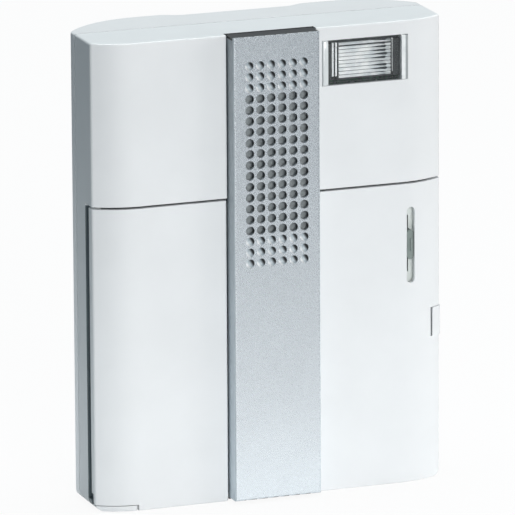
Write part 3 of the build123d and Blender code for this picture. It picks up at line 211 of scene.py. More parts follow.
# colours of the object, as they show on a screen under plain light; some of them are painted light and
# shade, as said where they are used
colours = {
    "white": shade(236, 238, 239),
    # painted light: a lighter white for the shell, for the light from behind that falls on its side
    "shell": shade(252, 253, 254),
    # painted shade in the grooves beside the doors
    "groove": shade(114, 125, 129),
    "silver": shade(230, 237, 242),
    "setBackSilver": shade(188, 198, 204),
    "dimplePaintedHighlight": shade(250, 252, 253),
    "dimplePaintedShade": shade(8, 11, 14),
    "dark": shade(26, 31, 34),
    "cloth": shade(168, 176, 179),
    # painted shade for the floor of the strip's channel
    "channelShade": shade(16, 17, 19),
    "rubber": shade(30, 31, 33),
    "knob": shade(132, 143, 139),
    "trough": shade(220, 226, 223),
    "panel": shade(206, 210, 208),
    "button": shade(108, 114, 116),
    "inner": shade(216, 219, 217),
    "terminal": shade(44, 84, 62),
    "brass": shade(196, 168, 96),
    "nickel": shade(196, 194, 186),
    "steel": shade(176, 178, 180),
    "zinc": shade(168, 172, 174),
    "chrome": shade(222, 226, 228),
    "board": shade(30, 92, 58),
    "track": shade(50, 122, 74),
    "chip": shade(33, 34, 36),
    "chipSpeck": shade(48, 48, 50),
    "copper": shade(176, 98, 52),
    "jacket": shade(58, 62, 70),
    "band": shade(190, 146, 62),
    "jacketLine": shade(214, 208, 190),
    "ferrite": shade(58, 57, 60),
    "paper": shade(52, 50, 48),
    "sleeve": shade(34, 44, 78),
    "stripe": shade(190, 196, 204),
    "resistor": shade(206, 182, 138),
    "glass": shade(226, 234, 236),
    "glassHaze": shade(205, 214, 214),
    # painted highlight on the lamp's posts
    "post": shade(250, 252, 252),
    "milky": shade(240, 244, 244),
    "milkyHigh": shade(252, 254, 254),
    "milkyLeftShade": shade(230, 234, 234),
    "lensEdgeShade": shade(168, 173, 175),
    "rib": shade(222, 228, 230),
    "ribHigh": shade(254, 255, 255),
    "ribGrey": shade(112, 122, 126),
    "ribDark": shade(52, 60, 64),
}


def dirtSpecks(made):
    # small specks that gather in patches
    specks = made.between(made.noise(size=0.55, detail=2), low=0.68, high=0.78)
    patches = made.between(made.noise(size=5, detail=2), low=0.52, high=0.66)
    return specks * patches


# what all the plastics share: dirt in their colour and gloss, streaks of handling, and slow waves
plastic = {
    "mottleSize": 26, "mottle": (0.98, 1.02),
    "dirtShare": 0.06, "dirtDark": 0.62, "dirtRough": 0.1,
    "streakSize": 7, "streak": (1, 1, 0.3), "smoother": 0.025, "rougher": 0.03,
    "waveSize": 14, "waveDepth": 0.006,
}


def dressPlastic(made, base, glossLow, glossHigh, grain, depth, dirtColour):
    tone = made.dimmed(base, made.patchy(plastic["mottleSize"], 3, *plastic["mottle"]))
    dirt = dirtSpecks(made)
    made.set("Base Color", made.blend(dirt * plastic["dirtShare"], tone, dirtColour))
    streak = made.stretched(plastic["streak"])
    gloss = made.patchy(plastic["streakSize"], detail=4, low=glossLow, high=glossHigh, vector=streak)
    made.set("Roughness", gloss + dirt * plastic["dirtRough"])
    wavy = made.bump(made.noise(plastic["waveSize"], detail=1), plastic["waveDepth"])
    made.set("Normal", made.bump(made.noise(grain, detail=3, rough=0.6), depth, wavy))
    return made.material


def moulded(name, colour, rough=0.38, grain=0.12, depth=0.004):
    # injection moulded plastic: fine spark grain, slow mottling, and gloss that varies with handling
    made = Finish(name, {"IOR": 1.5})
    low, high = rough - plastic["smoother"], rough + plastic["rougher"]
    return dressPlastic(made, colour[:3], low, high, grain, depth, scaled(colour, plastic["dirtDark"]))


# places on the housing, the doors and the shell that have a finish of their own: the shell a glossier coat
# and a lighter white painted as light, the grooves and the strip's channel darker colours painted as shade
housing = {
    "partingLine": -20.5,
    "grooveFront": -34.98, "grooveBack": -30.8, "grooveFrom": 69, "grooveTop": 27.5,
    "channelShadeFront": -41.2, "channelShadeBack": -40.8, "channelShadeHalf": 18.5,
    "coat": 0.08, "shellCoat": 0.7, "gloss": (0.335, 0.39), "grain": 0.12, "depth": 0.004,
}


def whitePlastic(plan):
    # the housing and its doors, and the shell behind the parting line, which is painted a lighter white
    # for the light from behind on its side; the grooves beside the doors are painted grey as shade, and
    # the floor of the strip's channel near black as the shade of the gap beside the strip
    made = Finish("whitePlastic", {"IOR": 1.5, "Coat IOR": 1.9, "Coat Roughness": 0.12})
    x, y, z = made.axes()
    aside = x.maths("ABSOLUTE")
    shell = y > plan["partingLine"] * mm
    # painted shade: the grooves beside the doors, which the door skirts shade, are made grey
    groove = (y > plan["grooveFront"] * mm) * (y < plan["grooveBack"] * mm)
    groove = groove * (aside > plan["grooveFrom"] * mm) * (z < plan["grooveTop"] * mm)
    # painted shade: the floor of the strip's channel is made near black, as the narrow gap beside the strip
    # is in shade
    channelShade = (y > plan["channelShadeFront"] * mm) * (y < plan["channelShadeBack"] * mm) * (aside < plan["channelShadeHalf"] * mm)
    # painted light: the shell behind the parting line is given the lighter white
    base = made.blend(shell, colours["white"], colours["shell"])
    base = made.blend(groove, base, colours["groove"])
    base = made.blend(channelShade, base, colours["channelShade"])
    made.set("Coat Weight", plan["coat"] + shell * plan["shellCoat"])
    dirtColour = scaled(colours["white"], plastic["dirtDark"])
    return dressPlastic(made, base, *plan["gloss"], plan["grain"], plan["depth"], dirtColour)


# what all the metals share: the size and depth of their grain, and how stains darken and dull them
metal = {"grain": 0.2, "depth": 0.002, "smooth": 0.8, "coarse": 1.2, "stainDark": 0.55, "stainRough": 0.4}


def metalled(name, colour, rough=0.3, brushed=None, stain=0.15):
    # bare or plated metal: brushed or cast grain, and faint stains that dull it
    made = Finish(name, {"Metallic": 1.0})
    way = made.stretched(brushed) if brushed else None
    fine = made.noise(metal["grain"], detail=4, rough=0.6, vector=way)
    stains = made.between(made.noise(size=4.5, detail=4, rough=0.6), low=0.45, high=0.7)
    made.set("Base Color", made.blend(stains * stain, colour, scaled(colour, metal["stainDark"])))
    gloss = made.between(fine, *noiseSpan, rough * metal["smooth"], rough * metal["coarse"])
    made.set("Roughness", gloss + stains * (stain * metal["stainRough"]))
    made.set("Normal", made.bump(fine, metal["depth"]))
    return made.material


# the strip: the grid of its holes, its front face and its outer side walls; the tones at the foot and
# at the head of the strip are painted light and shade, lighter at the foot and darker at the head
strip = {
    "gridLeft": -11.1, "columnPitch": 4.44, "gridFoot": 3.24, "rowPitch": 4.32, "gridHalf": 14,
    "face": -49.92, "recess": -49.8, "wallFrom": 17.6, "wallTo": 17.7,
    "foot": -90, "head": 90, "footPaintedLight": 1.055, "headPaintedShade": 0.92,
    "wallFoot": -80, "wallHead": 70, "wallFootPaintedLight": 0.34, "wallHeadPaintedShade": -0.2,
    "slantAcross": 0.85, "slantUp": 0.53, "shadedSlant": (0.1, 0.95), "litSlant": (-0.3, -1.2),
    "flake": 0.2, "sparkle": (0.95, 1.03), "gloss": (0.24, 0.31), "recessRough": 0.22,
    "metal": 0.94, "recessMetal": 0.12, "cloudSize": 18, "cloud": (0.985, 1.015),
}


def silverPaint(plan):
    # satin metallic paint: flakes of a fifth of a millimetre in a clear binder
    made = Finish("silverPaint", {"Coat Weight": 0.12, "Coat Roughness": 0.2})
    x, y, z = made.axes()
    aside = x.maths("ABSOLUTE")
    inside = made.between(y, plan["face"] * mm, plan["recess"] * mm)
    sparkle = made.add("SeparateColor", {}, {0: made.cells(plan["flake"]).out("Color")})
    tone = made.between(sparkle, 0, 1, *plan["sparkle"]) * made.patchy(plan["cloudSize"], 2, *plan["cloud"])
    # painted light and shade: the outer side walls are lighter at the foot and darker towards the top, and
    # the face a little too
    wall = made.between(aside, plan["wallFrom"] * mm, plan["wallTo"] * mm)
    wallPaintedShading = made.between(
        z, plan["wallFoot"] * mm, plan["wallHead"] * mm, plan["wallFootPaintedLight"], plan["wallHeadPaintedShade"])
    tone = tone * (wall * wallPaintedShading + 1)
    tone = tone * made.between(z, plan["foot"] * mm, plan["head"] * mm, plan["footPaintedLight"], plan["headPaintedShade"])

    def offset(along, first, pitch):
        # distance in mm from the middle of the nearest hole
        return ((along / mm - first) / pitch + 0.5).maths("FRACT") * pitch - pitch / 2
    # recesses and side walls are a darker, matt silver; the upper right of each dimple is painted dark as
    # shade, and its lower left painted bright as a highlight
    slant = (offset(x, plan["gridLeft"], plan["columnPitch"]) * plan["slantAcross"]
             + offset(z, plan["gridFoot"], plan["rowPitch"]) * plan["slantUp"])
    recess = inside * (aside < plan["gridHalf"] * mm)
    paint = made.blend(inside, colours["silver"], colours["setBackSilver"])
    paint = made.blend(made.between(slant, *plan["shadedSlant"]) * recess, paint, colours["dimplePaintedShade"])
    paint = made.blend(made.between(slant, *plan["litSlant"]) * recess, paint, colours["dimplePaintedHighlight"])
    made.set("Base Color", made.dimmed(paint, tone))
    made.set("Metallic", made.between(inside, low=0, high=1, start=plan["metal"], end=plan["recessMetal"]))
    made.set("Roughness", made.between(sparkle, 0, 1, *plan["gloss"]) + inside * plan["recessRough"])
    wavy = made.bump(made.noise(size=9, detail=1), depth=0.006)
    made.set("Normal", made.bump(made.noise(size=0.22, detail=3, rough=0.6), depth=0.002, normal=wavy))
    return made.material


def lensPlastic():
    # clear moulded plastic: light passes it straight, and its skin shines
    made = Finish("lensPlastic", {"IOR": 1.49, "Coat Weight": 0.4, "Coat Roughness": 0.03})
    edge = made.add("LayerWeight", {}, {"Blend": 0.35}).out("Facing")
    haze = made.between(made.noise(size=3, detail=3), low=0.35, high=0.7, start=0.0, end=0.02)
    made.set("Base Color", colours["glass"])
    made.set("Alpha", made.between(edge, low=0.2, high=0.95, start=0.02, end=0.4) + haze)
    made.set("Roughness", made.patchy(size=2.2, detail=3, low=0.04, high=0.1))
    made.set("Normal", made.bump(made.noise(size=1.6, detail=2), depth=0.004))
    return made.material


def tubeGlass():
    # clear glass with a thin haze inside, denser to the eye at the tube's edges
    made = Finish("tubeGlass", {"IOR": 1.47, "Coat Weight": 1.0, "Coat Roughness": 0.02})
    edge = made.add("LayerWeight", {}, {"Blend": 0.4}).out("Facing")
    haze = made.between(made.noise(size=1.5, detail=2), low=0.5, high=0.7)
    made.set("Base Color", made.blend(haze, colours["glass"], colours["glassHaze"]))
    made.set("Alpha", made.between(edge, low=0.0, high=1.0, start=0.3, end=0.9))
    made.set("Roughness", made.patchy(size=1.2, detail=2, low=0.03, high=0.12))
    made.set("Normal", made.bump(made.noise(size=2.0, detail=2), depth=0.006))
    return made.material


# tracks and pads of the boards: pitches in mm, and the share of a pitch that is metal
tracks = {"wander": 1.5, "upright": 2, "across": 2.5, "share": 0.3, "padPitch": 2.54, "padShare": 0.16}


def circuitBoard(plan):
    # green solder mask, with paler tracks under it and tinned pads
    made = Finish("circuitBoard", {"Coat Weight": 0.5, "Coat Roughness": 0.15})
    x, z = made.axes("XZ")
    wander = made.patchy(size=9, detail=1, low=-1, high=1) * (plan["wander"] * mm)
    upright, across = [
        ((along + wander) * (1 / (plan[pitch] * mm))).maths("FRACT") < plan["share"]
        for along, pitch in ((x, "upright"), (z, "across"))]
    region = made.between(made.noise(size=11, detail=0), low=0.49, high=0.51)
    track = upright * region + across * (1 - region)
    pads = made.cells(plan["padPitch"]) < plan["padShare"]
    mask = made.blend(track, colours["board"], colours["track"])
    made.set("Base Color", made.blend(pads, mask, colours["nickel"]))
    made.set("Metallic", pads)
    made.set("Roughness", made.patchy(size=0.8, detail=2, low=0.28, high=0.42))
    wavy = made.bump(made.noise(size=0.5, detail=2), depth=0.006)
    made.set("Normal", made.bump(track * 0.5 + pads, depth=0.03, normal=wavy))
    return made.material


def chipEpoxy():
    # black moulding compound, rough and faintly speckled
    made = Finish("chipEpoxy", {"IOR": 1.55})
    speckle = made.between(made.noise(size=0.3, detail=3), low=0.4, high=0.7)
    made.set("Base Color", made.blend(speckle, colours["chip"], colours["chipSpeck"]))
    made.set("Roughness", made.patchy(size=0.25, detail=3, low=0.42, high=0.62))
    made.set("Normal", made.bump(made.noise(size=0.16, detail=4, rough=0.7), depth=0.012))
    return made.material


def woundCopper():
    # enamelled wire in close turns
    made = Finish("woundCopper", {"Metallic": 0.75, "Coat Weight": 0.7, "Coat Roughness": 0.1})
    turns = made.add("TexWave", {"bands_direction": "Z", "wave_profile": "SIN"},
                     {"Vector": made.spot(), "Scale": 900.0, "Distortion": 0.6})
    made.set("Base Color", made.blend(turns, scaled(colours["copper"], by=0.55), colours["copper"]))
    made.set("Roughness", made.patchy(size=1, detail=2, low=0.22, high=0.38))
    made.set("Normal", made.bump(turns, depth=0.06))
    return made.material


# colour rings of the resistors: heights of their middles, half a ring's width, and their colours
rings = {"heights": (32.3, 33.3, 34.3, 35.7), "half": 0.24,
         "colours": (shade(150, 52, 38), shade(60, 40, 34), shade(214, 120, 40), shade(186, 150, 74))}


def resistorPaint(plan):
    # beige lacquer with four colour rings round each body
    made = Finish("resistorPaint", {"Coat Weight": 0.4, "Coat Roughness": 0.15})
    [z] = made.axes("Z")
    paint = colours["resistor"]
    for height, ring in zip(plan["heights"], plan["colours"]):
        near = (z - height * mm).maths("ABSOLUTE") < plan["half"] * mm
        paint = made.blend(near, paint, ring)
    made.set("Base Color", paint)
    made.set("Roughness", made.patchy(size=0.9, detail=2, low=0.25, high=0.4))
    made.set("Normal", made.bump(made.noise(size=0.7, detail=2), depth=0.02))
    return made.material


def capacitorSleeve(stripeHalf=0.8, stripePitch=4.5):
    # shrunk plastic sleeve with pale polarity stripes, slightly wrinkled
    made = Finish("capacitorSleeve", {"Coat Weight": 0.5, "Coat Roughness": 0.12})
    [x] = made.axes("X")
    pale = (x * (1 / mm) + stripeHalf).maths("PINGPONG", stripePitch) < stripeHalf
    made.set("Base Color", made.blend(pale, colours["sleeve"], colours["stripe"]))
    made.set("Roughness", made.patchy(size=1.5, detail=3, low=0.2, high=0.36))
    wrinkles = made.noise(size=2.4, detail=2, vector=made.stretched((1, 1, 0.4)))
    made.set("Normal", made.bump(wrinkles, depth=0.05))
    return made.material


def clothWeave(thread=0.5):
    # plain woven speaker cloth, with the width of a thread in mm
    made = Finish("clothWeave", {"Sheen Weight": 0.3})
    across, along = [(way * (math.pi / (thread * mm))).maths("SINE") for way in made.axes("XZ")]
    height = made.between((across * along).maths("ABSOLUTE"), low=0, high=1)
    gap, crown = scaled(colours["cloth"], by=0.35), scaled(colours["cloth"], by=1.5)
    made.set("Base Color", made.blend(height, gap, crown))
    made.set("Roughness", made.patchy(size=0.4, detail=2, low=0.82, high=0.95))
    fuzz = made.bump(made.noise(size=0.1, detail=2), depth=0.02)
    made.set("Normal", made.bump(height, depth=0.12, normal=fuzz))
    return made.material


def conePaper():
    # pressed pulp with loose fibres
    made = Finish("conePaper")
    fibres = made.noise(size=0.5, detail=5, rough=0.7)
    share = made.between(fibres, *noiseSpan)
    dull, pale = scaled(colours["paper"], by=0.7), scaled(colours["paper"], by=1.3)
    made.set("Base Color", made.blend(share, dull, pale))
    made.set("Roughness", made.between(fibres, *noiseSpan, 0.75, 0.92))
    made.set("Normal", made.bump(fibres, depth=0.06))
    return made.material


# print on the cells, its places as shares of the jacket's height, and how metallic it is
foil = {"field": (0.655, 0.662), "line": (0.63, 0.64),
        "metal": 0.25, "fieldMetal": 0.55, "speckShare": 0.25, "speckRough": 0.15}


def cellJacket(name="cellJacket", foot=0, head=50):
    # printed foil: a dark sleeve with a brass field at the head end and a thin pale line under it
    made = Finish(name, {"Coat Weight": 0.6, "Coat Roughness": 0.12})
    [z] = made.axes("Z")
    along = (z * (1 / mm) - foot) / (head - foot)
    field = made.between(along, *foil["field"])
    line = (along > foil["line"][0]) * (along < foil["line"][1])
    speck = made.between(made.noise(size=0.4, detail=2), low=0.62, high=0.7)
    cloudy = made.between(made.noise(size=2, detail=2), low=0.4, high=0.6)
    body = made.blend(cloudy, colours["jacket"], scaled(colours["jacket"], by=1.2))
    body = made.blend(field, body, colours["band"])
    body = made.blend(line, body, colours["jacketLine"])
    made.set("Base Color", made.blend(speck * foil["speckShare"], body, scaled(colours["jacket"], by=0.5)))
    made.set("Metallic", foil["metal"] + field * foil["fieldMetal"])
    made.set("Roughness", made.patchy(size=5, detail=3, low=0.2, high=0.34) + speck * foil["speckRough"])
    printed = made.bump(field + line, depth=0.02)
    made.set("Normal", made.bump(made.noise(size=3, detail=2), depth=0.012, normal=printed))
    return made.material


finishes = {
    "white_plastic": whitePlastic(housing),
    "silver_strip": silverPaint(strip),
    "dark_plastic": moulded("darkPlastic", colours["dark"], rough=0.42),
    "speaker_cloth": clothWeave(),
    "soft_rubber": moulded("softRubber", colours["rubber"], rough=0.72, grain=0.3, depth=0.01),
    "basket_steel": metalled("basketSteel", colours["zinc"], rough=0.34),
    "surround_rubber": moulded(
        "surroundRubber", scaled(colours["rubber"], by=0.7), rough=0.6, grain=0.25, depth=0.008),
    "cone_paper": conePaper(),
    "magnet_ferrite": moulded("magnetFerrite", colours["ferrite"], rough=0.66, grain=0.2, depth=0.02),
    "screw_steel": metalled("screwSteel", colours["zinc"], rough=0.26),
    "pin_steel": metalled("pinSteel", colours["steel"], rough=0.2, brushed=(1, 1, 0.1)),
    "clear_lens": lensPlastic(),
    "reflector_chrome": metalled("reflectorChrome", colours["chrome"], rough=0.14, stain=0.05),
    "tube_glass": tubeGlass(),
    "contact_metal": metalled("contactNickel", colours["nickel"], rough=0.24, brushed=(0.1, 1, 1)),
    "circuit_board": circuitBoard(tracks),
    "inner_plastic": moulded("innerPlastic", colours["inner"], rough=0.5, depth=0.006),
    "chip_black": chipEpoxy(),
    "capacitor_sleeve": capacitorSleeve(),
    "coil_copper": woundCopper(),
    "resistor_body": resistorPaint(rings),
    "slider_metal": metalled("sliderMetal", colours["zinc"], rough=0.36, brushed=(1, 1, 0.08)),
    "trough_plastic": moulded("troughPlastic", colours["trough"], rough=0.46),
    "knob_plastic": moulded("knobPlastic", colours["knob"], rough=0.5, grain=0.2, depth=0.008),
    "panel_plastic": moulded("panelPlastic", colours["panel"], rough=0.5, depth=0.008),
    "button_plastic": moulded("buttonPlastic", colours["button"], rough=0.44),
    "terminal_plastic": moulded("terminalPlastic", colours["terminal"], rough=0.42),
    "terminal_brass": metalled("terminalBrass", colours["brass"], rough=0.28),
    "cell_jacket": cellJacket(),
}

for node in nodes.values():
    for place in node.material_slots:
        place.material = finishes[place.material.name.split(".")[0]]
print("materials are on every node")


# modelling helpers: pick parts of a mesh by place or normal, then use the ordinary tools. A face
# looks along an axis when its normal has this share of it, and it lies flat with the second share.
# Two places that are closer than this, in mm, are one
facing = 0.9
flat = 0.99
close = 0.01


def leaveEditing():
    if bpy.context.mode == "EDIT_MESH":
        bpy.ops.object.mode_set(mode="OBJECT")
    bpy.ops.object.select_all(action="DESELECT")


def begun(name):
    piece = bpy.context.active_object
    piece.name = piece.data.name = name
    bpy.ops.object.transform_apply(location=True, rotation=True, scale=True)
    return piece


def block(name, low, high):
    leaveEditing()
    low, high = Vector(low) * mm, Vector(high) * mm
    bpy.ops.mesh.primitive_cube_add(size=1, location=(low + high) / 2, scale=high - low)
    return begun(name)


def rod(name, centre, radius, length, sides, axis="Z"):
    leaveEditing()
    turn = {"Y": (math.pi / 2, 0, 0), "Z": (0, 0, 0)}[axis]
    bpy.ops.mesh.primitive_cylinder_add(
        vertices=sides, radius=radius * mm, depth=length * mm, location=Vector(centre) * mm, rotation=turn)
    return begun(name)


def pick(piece, test, kind="faces"):
    # selects faces by centre and normal, or edges by their two ends, and leaves edit mode on
    if bpy.context.mode != "EDIT_MESH":
        bpy.ops.object.select_all(action="DESELECT")
        piece.select_set(True)
        bpy.context.view_layer.objects.active = piece
        bpy.ops.object.mode_set(mode="EDIT")
    bpy.ops.mesh.select_mode(type="FACE" if kind == "faces" else "EDGE")
    bpy.ops.mesh.select_all(action="DESELECT")
    shape = bmesh.from_edit_mesh(piece.data)
    if kind == "faces":
        for face in shape.faces:
            face.select_set(bool(test(face.calc_center_median() / mm, face.normal)))
    else:
        for edge in shape.edges:
            edge.select_set(bool(test(edge.verts[0].co / mm, edge.verts[1].co / mm)))
    bmesh.update_edit_mesh(piece.data)


def looking(axis, way):
    # a test for the faces that look along an axis, to its high end with way 1, to its low end with -1
    index = "xyz".index(axis)
    return lambda centre, normal: normal[index] * way > facing


def every(centre, normal):
    return True


def cut(piece, place, way, test=every):
    pick(piece, test)
    bpy.ops.mesh.bisect(plane_co=Vector(place) * mm, plane_no=way)


def inset(width, depth=0, each=False):
    bpy.ops.mesh.inset(thickness=width * mm, depth=depth * mm, use_individual=each)


def bevel(width, steps):
    bpy.ops.mesh.bevel(offset=width * mm, segments=steps, affect="EDGES")


def extrude(x, y, z):
    bpy.ops.mesh.extrude_region_move(TRANSFORM_OT_translate={"value": Vector((x, y, z)) * mm})


def slide(x, y, z):
    bpy.ops.transform.translate(value=Vector((x, y, z)) * mm)


def shaped(piece, angle=35):
    # back to object mode, smooth where the faces turn slowly
    leaveEditing()
    piece.select_set(True)
    bpy.context.view_layer.objects.active = piece
    bpy.ops.object.shade_smooth_by_angle(angle=math.radians(angle))
    return piece


def modified(piece, kind, **settings):
    leaveEditing()
    bpy.context.view_layer.objects.active = piece
    change = piece.modifiers.new(kind.title(), kind)
    for name, value in settings.items():
        setattr(change, name, value)
    bpy.ops.object.modifier_apply(modifier=change.name)
    return piece


def softened(piece, width, steps=2, angle=30):
    return modified(piece, "BEVEL", width=width * mm, segments=steps, limit_method="ANGLE",
                    angle_limit=math.radians(angle), harden_normals=False)


def copied(piece, name, move, turn=None):
    twin = piece.copy()
    twin.data = piece.data.copy()
    twin.name = twin.data.name = name
    bpy.context.collection.objects.link(twin)
    twin.data.transform(Matrix.Translation(Vector(move) * mm) @ (turn or Matrix.Identity(4)))
    return twin


def joined(pieces, name):
    leaveEditing()
    for piece in pieces:
        piece.select_set(True)
    bpy.context.view_layer.objects.active = pieces[0]
    bpy.ops.object.join()
    pieces[0].name = pieces[0].data.name = name
    return pieces[0]


def fitted(piece, material, slotName, body, *replaced):
    piece.data.materials.clear()
    piece.data.materials.append(material)
    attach(piece, body)
    if replaced:
        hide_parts(*replaced)
    bpy.ops.object.select_all(action="DESELECT")


def corners(node):
    low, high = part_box(node)
    return Vector(low) / mm, Vector(high) / mm


# flash lamp: clear cap, milky ends, ribbed inner window, and the posts with a bead at each foot
flash = {
    "left": 21.1, "right": 56.2, "bottom": 69.4, "top": 86.9,
    "front": -44.6, "plate": 1.1, "depth": 3.4, "softEdge": 0.45, "softSteps": 3,
    "leftEnd": 2.1, "rightEnd": 2.7, "edgeFrom": 55.1,
    "flange": 1.2, "flangeWall": 0.8,
    "ribs": 10, "ribLeft": 28.2, "ribRight": 49.6, "ribBottom": 71.3, "ribTop": 85.6,
    "ribWall": 0.5, "ribDepth": 0.55, "ribFront": -42.9, "ribRound": 0.3, "ribSteps": 4, "ribAngle": 50,
    "valleyShare": 0.1, "valleySoft": 0.06, "wedgeLeft": 41.4, "wedgeRight": 47.3, "wedgeShare": 0.3,
    "wedgeSpread": 1.6, "wedgeSoft": (0.5, -0.3), "weakShare": 0.25, "weakOdds": 0.3,
    "greyFrom": 39.9, "greyTo": 45.3, "greyShare": 0.5, "topShade": 2.6, "footShade": 1.9, "rimShare": 0.35,
    "postX": (25.8, 27.15, 50.3), "postRadius": (0.4, 0.4, 0.22), "postSides": 16,
    "postY": -42.4, "postLow": 72.4, "postHigh": 85.6, "tipShare": 0.4, "tipRise": 0.12,
    "beadX": (26.15, 27.45, 50.4), "beadRadius": 0.68, "beadHeight": 1.2, "beadLap": 0.1,
    "beadSides": 20, "beadSoft": 0.25, "beadSteps": 3,
}


def lensEndPlastic(plan):
    # the lens's thick moulded ends, which gather light and look milky
    made = Finish("lensEndPlastic", {"IOR": 1.49, "Coat Weight": 0.8, "Coat Roughness": 0.04})
    cloudy = made.patchy(size=2.5, detail=3, low=0, high=1)
    [x] = made.axes("X")
    milky = made.blend(cloudy, colours["milky"], colours["milkyHigh"])
    # painted shade: the left end is a little darker than the right one, and the right end's outer edge is
    # grey
    milky = made.blend(x < plan["ribLeft"] * mm, milky, colours["milkyLeftShade"])
    made.set("Base Color", made.blend(x > plan["edgeFrom"] * mm, milky, colours["lensEdgeShade"]))
    made.set("Alpha", made.between(cloudy, low=0, high=1, start=0.95, end=1))
    made.set("Roughness", made.between(cloudy, low=0, high=1, start=0.1, end=0.18))
    made.set("Normal", made.bump(made.noise(size=1.6, detail=2), depth=0.01))
    return made.material


def ribPlastic(plan):
    # ribs painted bright as the lit reflector behind them, with valleys painted dark as shade, which open
    # into wedges painted as the reflection of the reflector's dark end
    made = Finish("ribPlastic", {"IOR": 1.49, "Coat Weight": 0.5, "Coat Roughness": 0.05})
    x, z = [way / mm for way in made.axes("XZ")]
    along = (z - plan["ribBottom"]) / ((plan["ribTop"] - plan["ribBottom"]) / plan["ribs"])
    off = (along.maths("FRACT") - 0.5).maths("ABSOLUTE")
    # each valley's wedge has an end and a strength of its own
    chance = made.add("TexWhiteNoise", {"noise_dimensions": "1D"}, {"W": (along + 0.5).maths("FLOOR")})
    end = plan["wedgeRight"] + (chance - 0.5) * plan["wedgeSpread"]
    wedge = made.between(x, plan["wedgeLeft"], plan["wedgeRight"])
    wedge = wedge * made.between(x - end, *plan["wedgeSoft"])
    wedge = wedge * (plan["weakShare"] + (1 - plan["weakShare"]) * (chance > plan["weakOdds"]))
    width = plan["valleyShare"] + wedge * plan["wedgeShare"]
    dark = made.between(off + width, low=0.5, high=0.5 + plan["valleySoft"])
    cloudy = made.between(made.noise(size=4, detail=2), low=0.35, high=0.65)
    pale = made.blend(cloudy, colours["rib"], colours["ribHigh"])
    # painted shade: the ribs beyond the wedges are greyed as the reflector's end would show through them,
    # and those at the top and bottom as its rim would
    grey = made.between(x, plan["greyFrom"], plan["greyTo"]) * plan["greyShare"]
    for rim, reach in ((plan["ribTop"], -plan["topShade"]), (plan["ribBottom"], plan["footShade"])):
        grey = grey + made.between(z, rim + reach, rim) * plan["rimShare"]
    streak = made.noise(size=1.1, detail=3, vector=made.stretched((0.25, 1, 1)))
    pale = made.blend(grey * made.between(streak, low=0.35, high=0.6), pale, colours["ribGrey"])
    made.set("Base Color", made.blend(dark, pale, colours["ribDark"]))
    made.set("Roughness", made.patchy(size=1.5, detail=2, low=0.12, high=0.2))
    made.set("Alpha", made.between(dark, low=0, high=1, start=0.96, end=0.9))
    made.set("Normal", made.bump(made.noise(size=2.0, detail=2), depth=0.006))
    return made.material


def addLensCap(plan):
    front, back = plan["front"], plan["front"] + plan["depth"]
    left, right = plan["left"] + plan["leftEnd"], plan["right"] - plan["rightEnd"]
    cap = block("lensCap", (left, front, plan["bottom"]), (right, back, plan["top"]))
    pick(cap, looking("y", 1))
    inset(plan["plate"])
    slide(0, plan["plate"] - plan["depth"], 0)

    def inFront(a, b):
        return max(a.y, b.y) < front + close
    pick(cap, lambda a, b: inFront(a, b) and abs(a.z - b.z) < close, "edges")
    bevel(plan["softEdge"], plan["softSteps"])
    shaped(cap)

    ends = []
    for way, low, high in ((-1, plan["left"], left), (1, right, plan["right"])):
        end = block("lensEnd", (low, front, plan["bottom"]), (high, back, plan["top"]))
        outer = low if way < 0 else high
        pick(end, lambda a, b: inFront(a, b) and not (
            abs(a.x - b.x) < close and abs(a.x - outer) > close), "edges")
        bevel(plan["softEdge"], plan["softSteps"])

        # foot that the housing holds from behind
        def outside(centre, normal):
            return abs(normal.x) > facing and abs(centre.x - outer) < close
        footFront = back - plan["flangeWall"]
        cut(end, (0, footFront, 0), (0, 1, 0), outside)
        pick(end, lambda centre, normal: outside(centre, normal) and centre.y > footFront)
        extrude(way * plan["flange"], 0, 0)
        ends.append(shaped(end))
    fitted(cap, finishes["clear_lens"], "clear_lens", "case", "flash_lens")
    fitted(joined(ends, "lensEnds"), lensEndPlastic(plan), "clear_lens", "case", "flash_lens")


def addRibWindow(plan):
    low, high = plan["ribBottom"], plan["ribTop"]
    front = plan["ribFront"]
    back = front + plan["ribWall"] + plan["ribDepth"]
    window = block("ribWindow", (plan["ribLeft"], front, low), (plan["ribRight"], back, high))
    step = (high - low) / plan["ribs"]
    for half in range(1, 2 * plan["ribs"]):
        cut(window, (0, 0, low + half * step / 2), (0, 0, 1))

    def across(share, spare=0.05):
        # the front edges at a share of a rib's height above each valley
        def near(point):
            place = (point.z - low) / step - share
            return abs(place - round(place)) < spare and point.y < front + close
        return lambda a, b: near(a) and near(b) and abs(a.z - b.z) < close
    pick(window, across(0), "edges")
    slide(0, plan["ribDepth"], 0)
    pick(window, across(0.5), "edges")
    bevel(step * plan["ribRound"], plan["ribSteps"])
    shaped(window, plan["ribAngle"])
    fitted(window, ribPlastic(plan), "clear_lens", "case", "flash_lens")


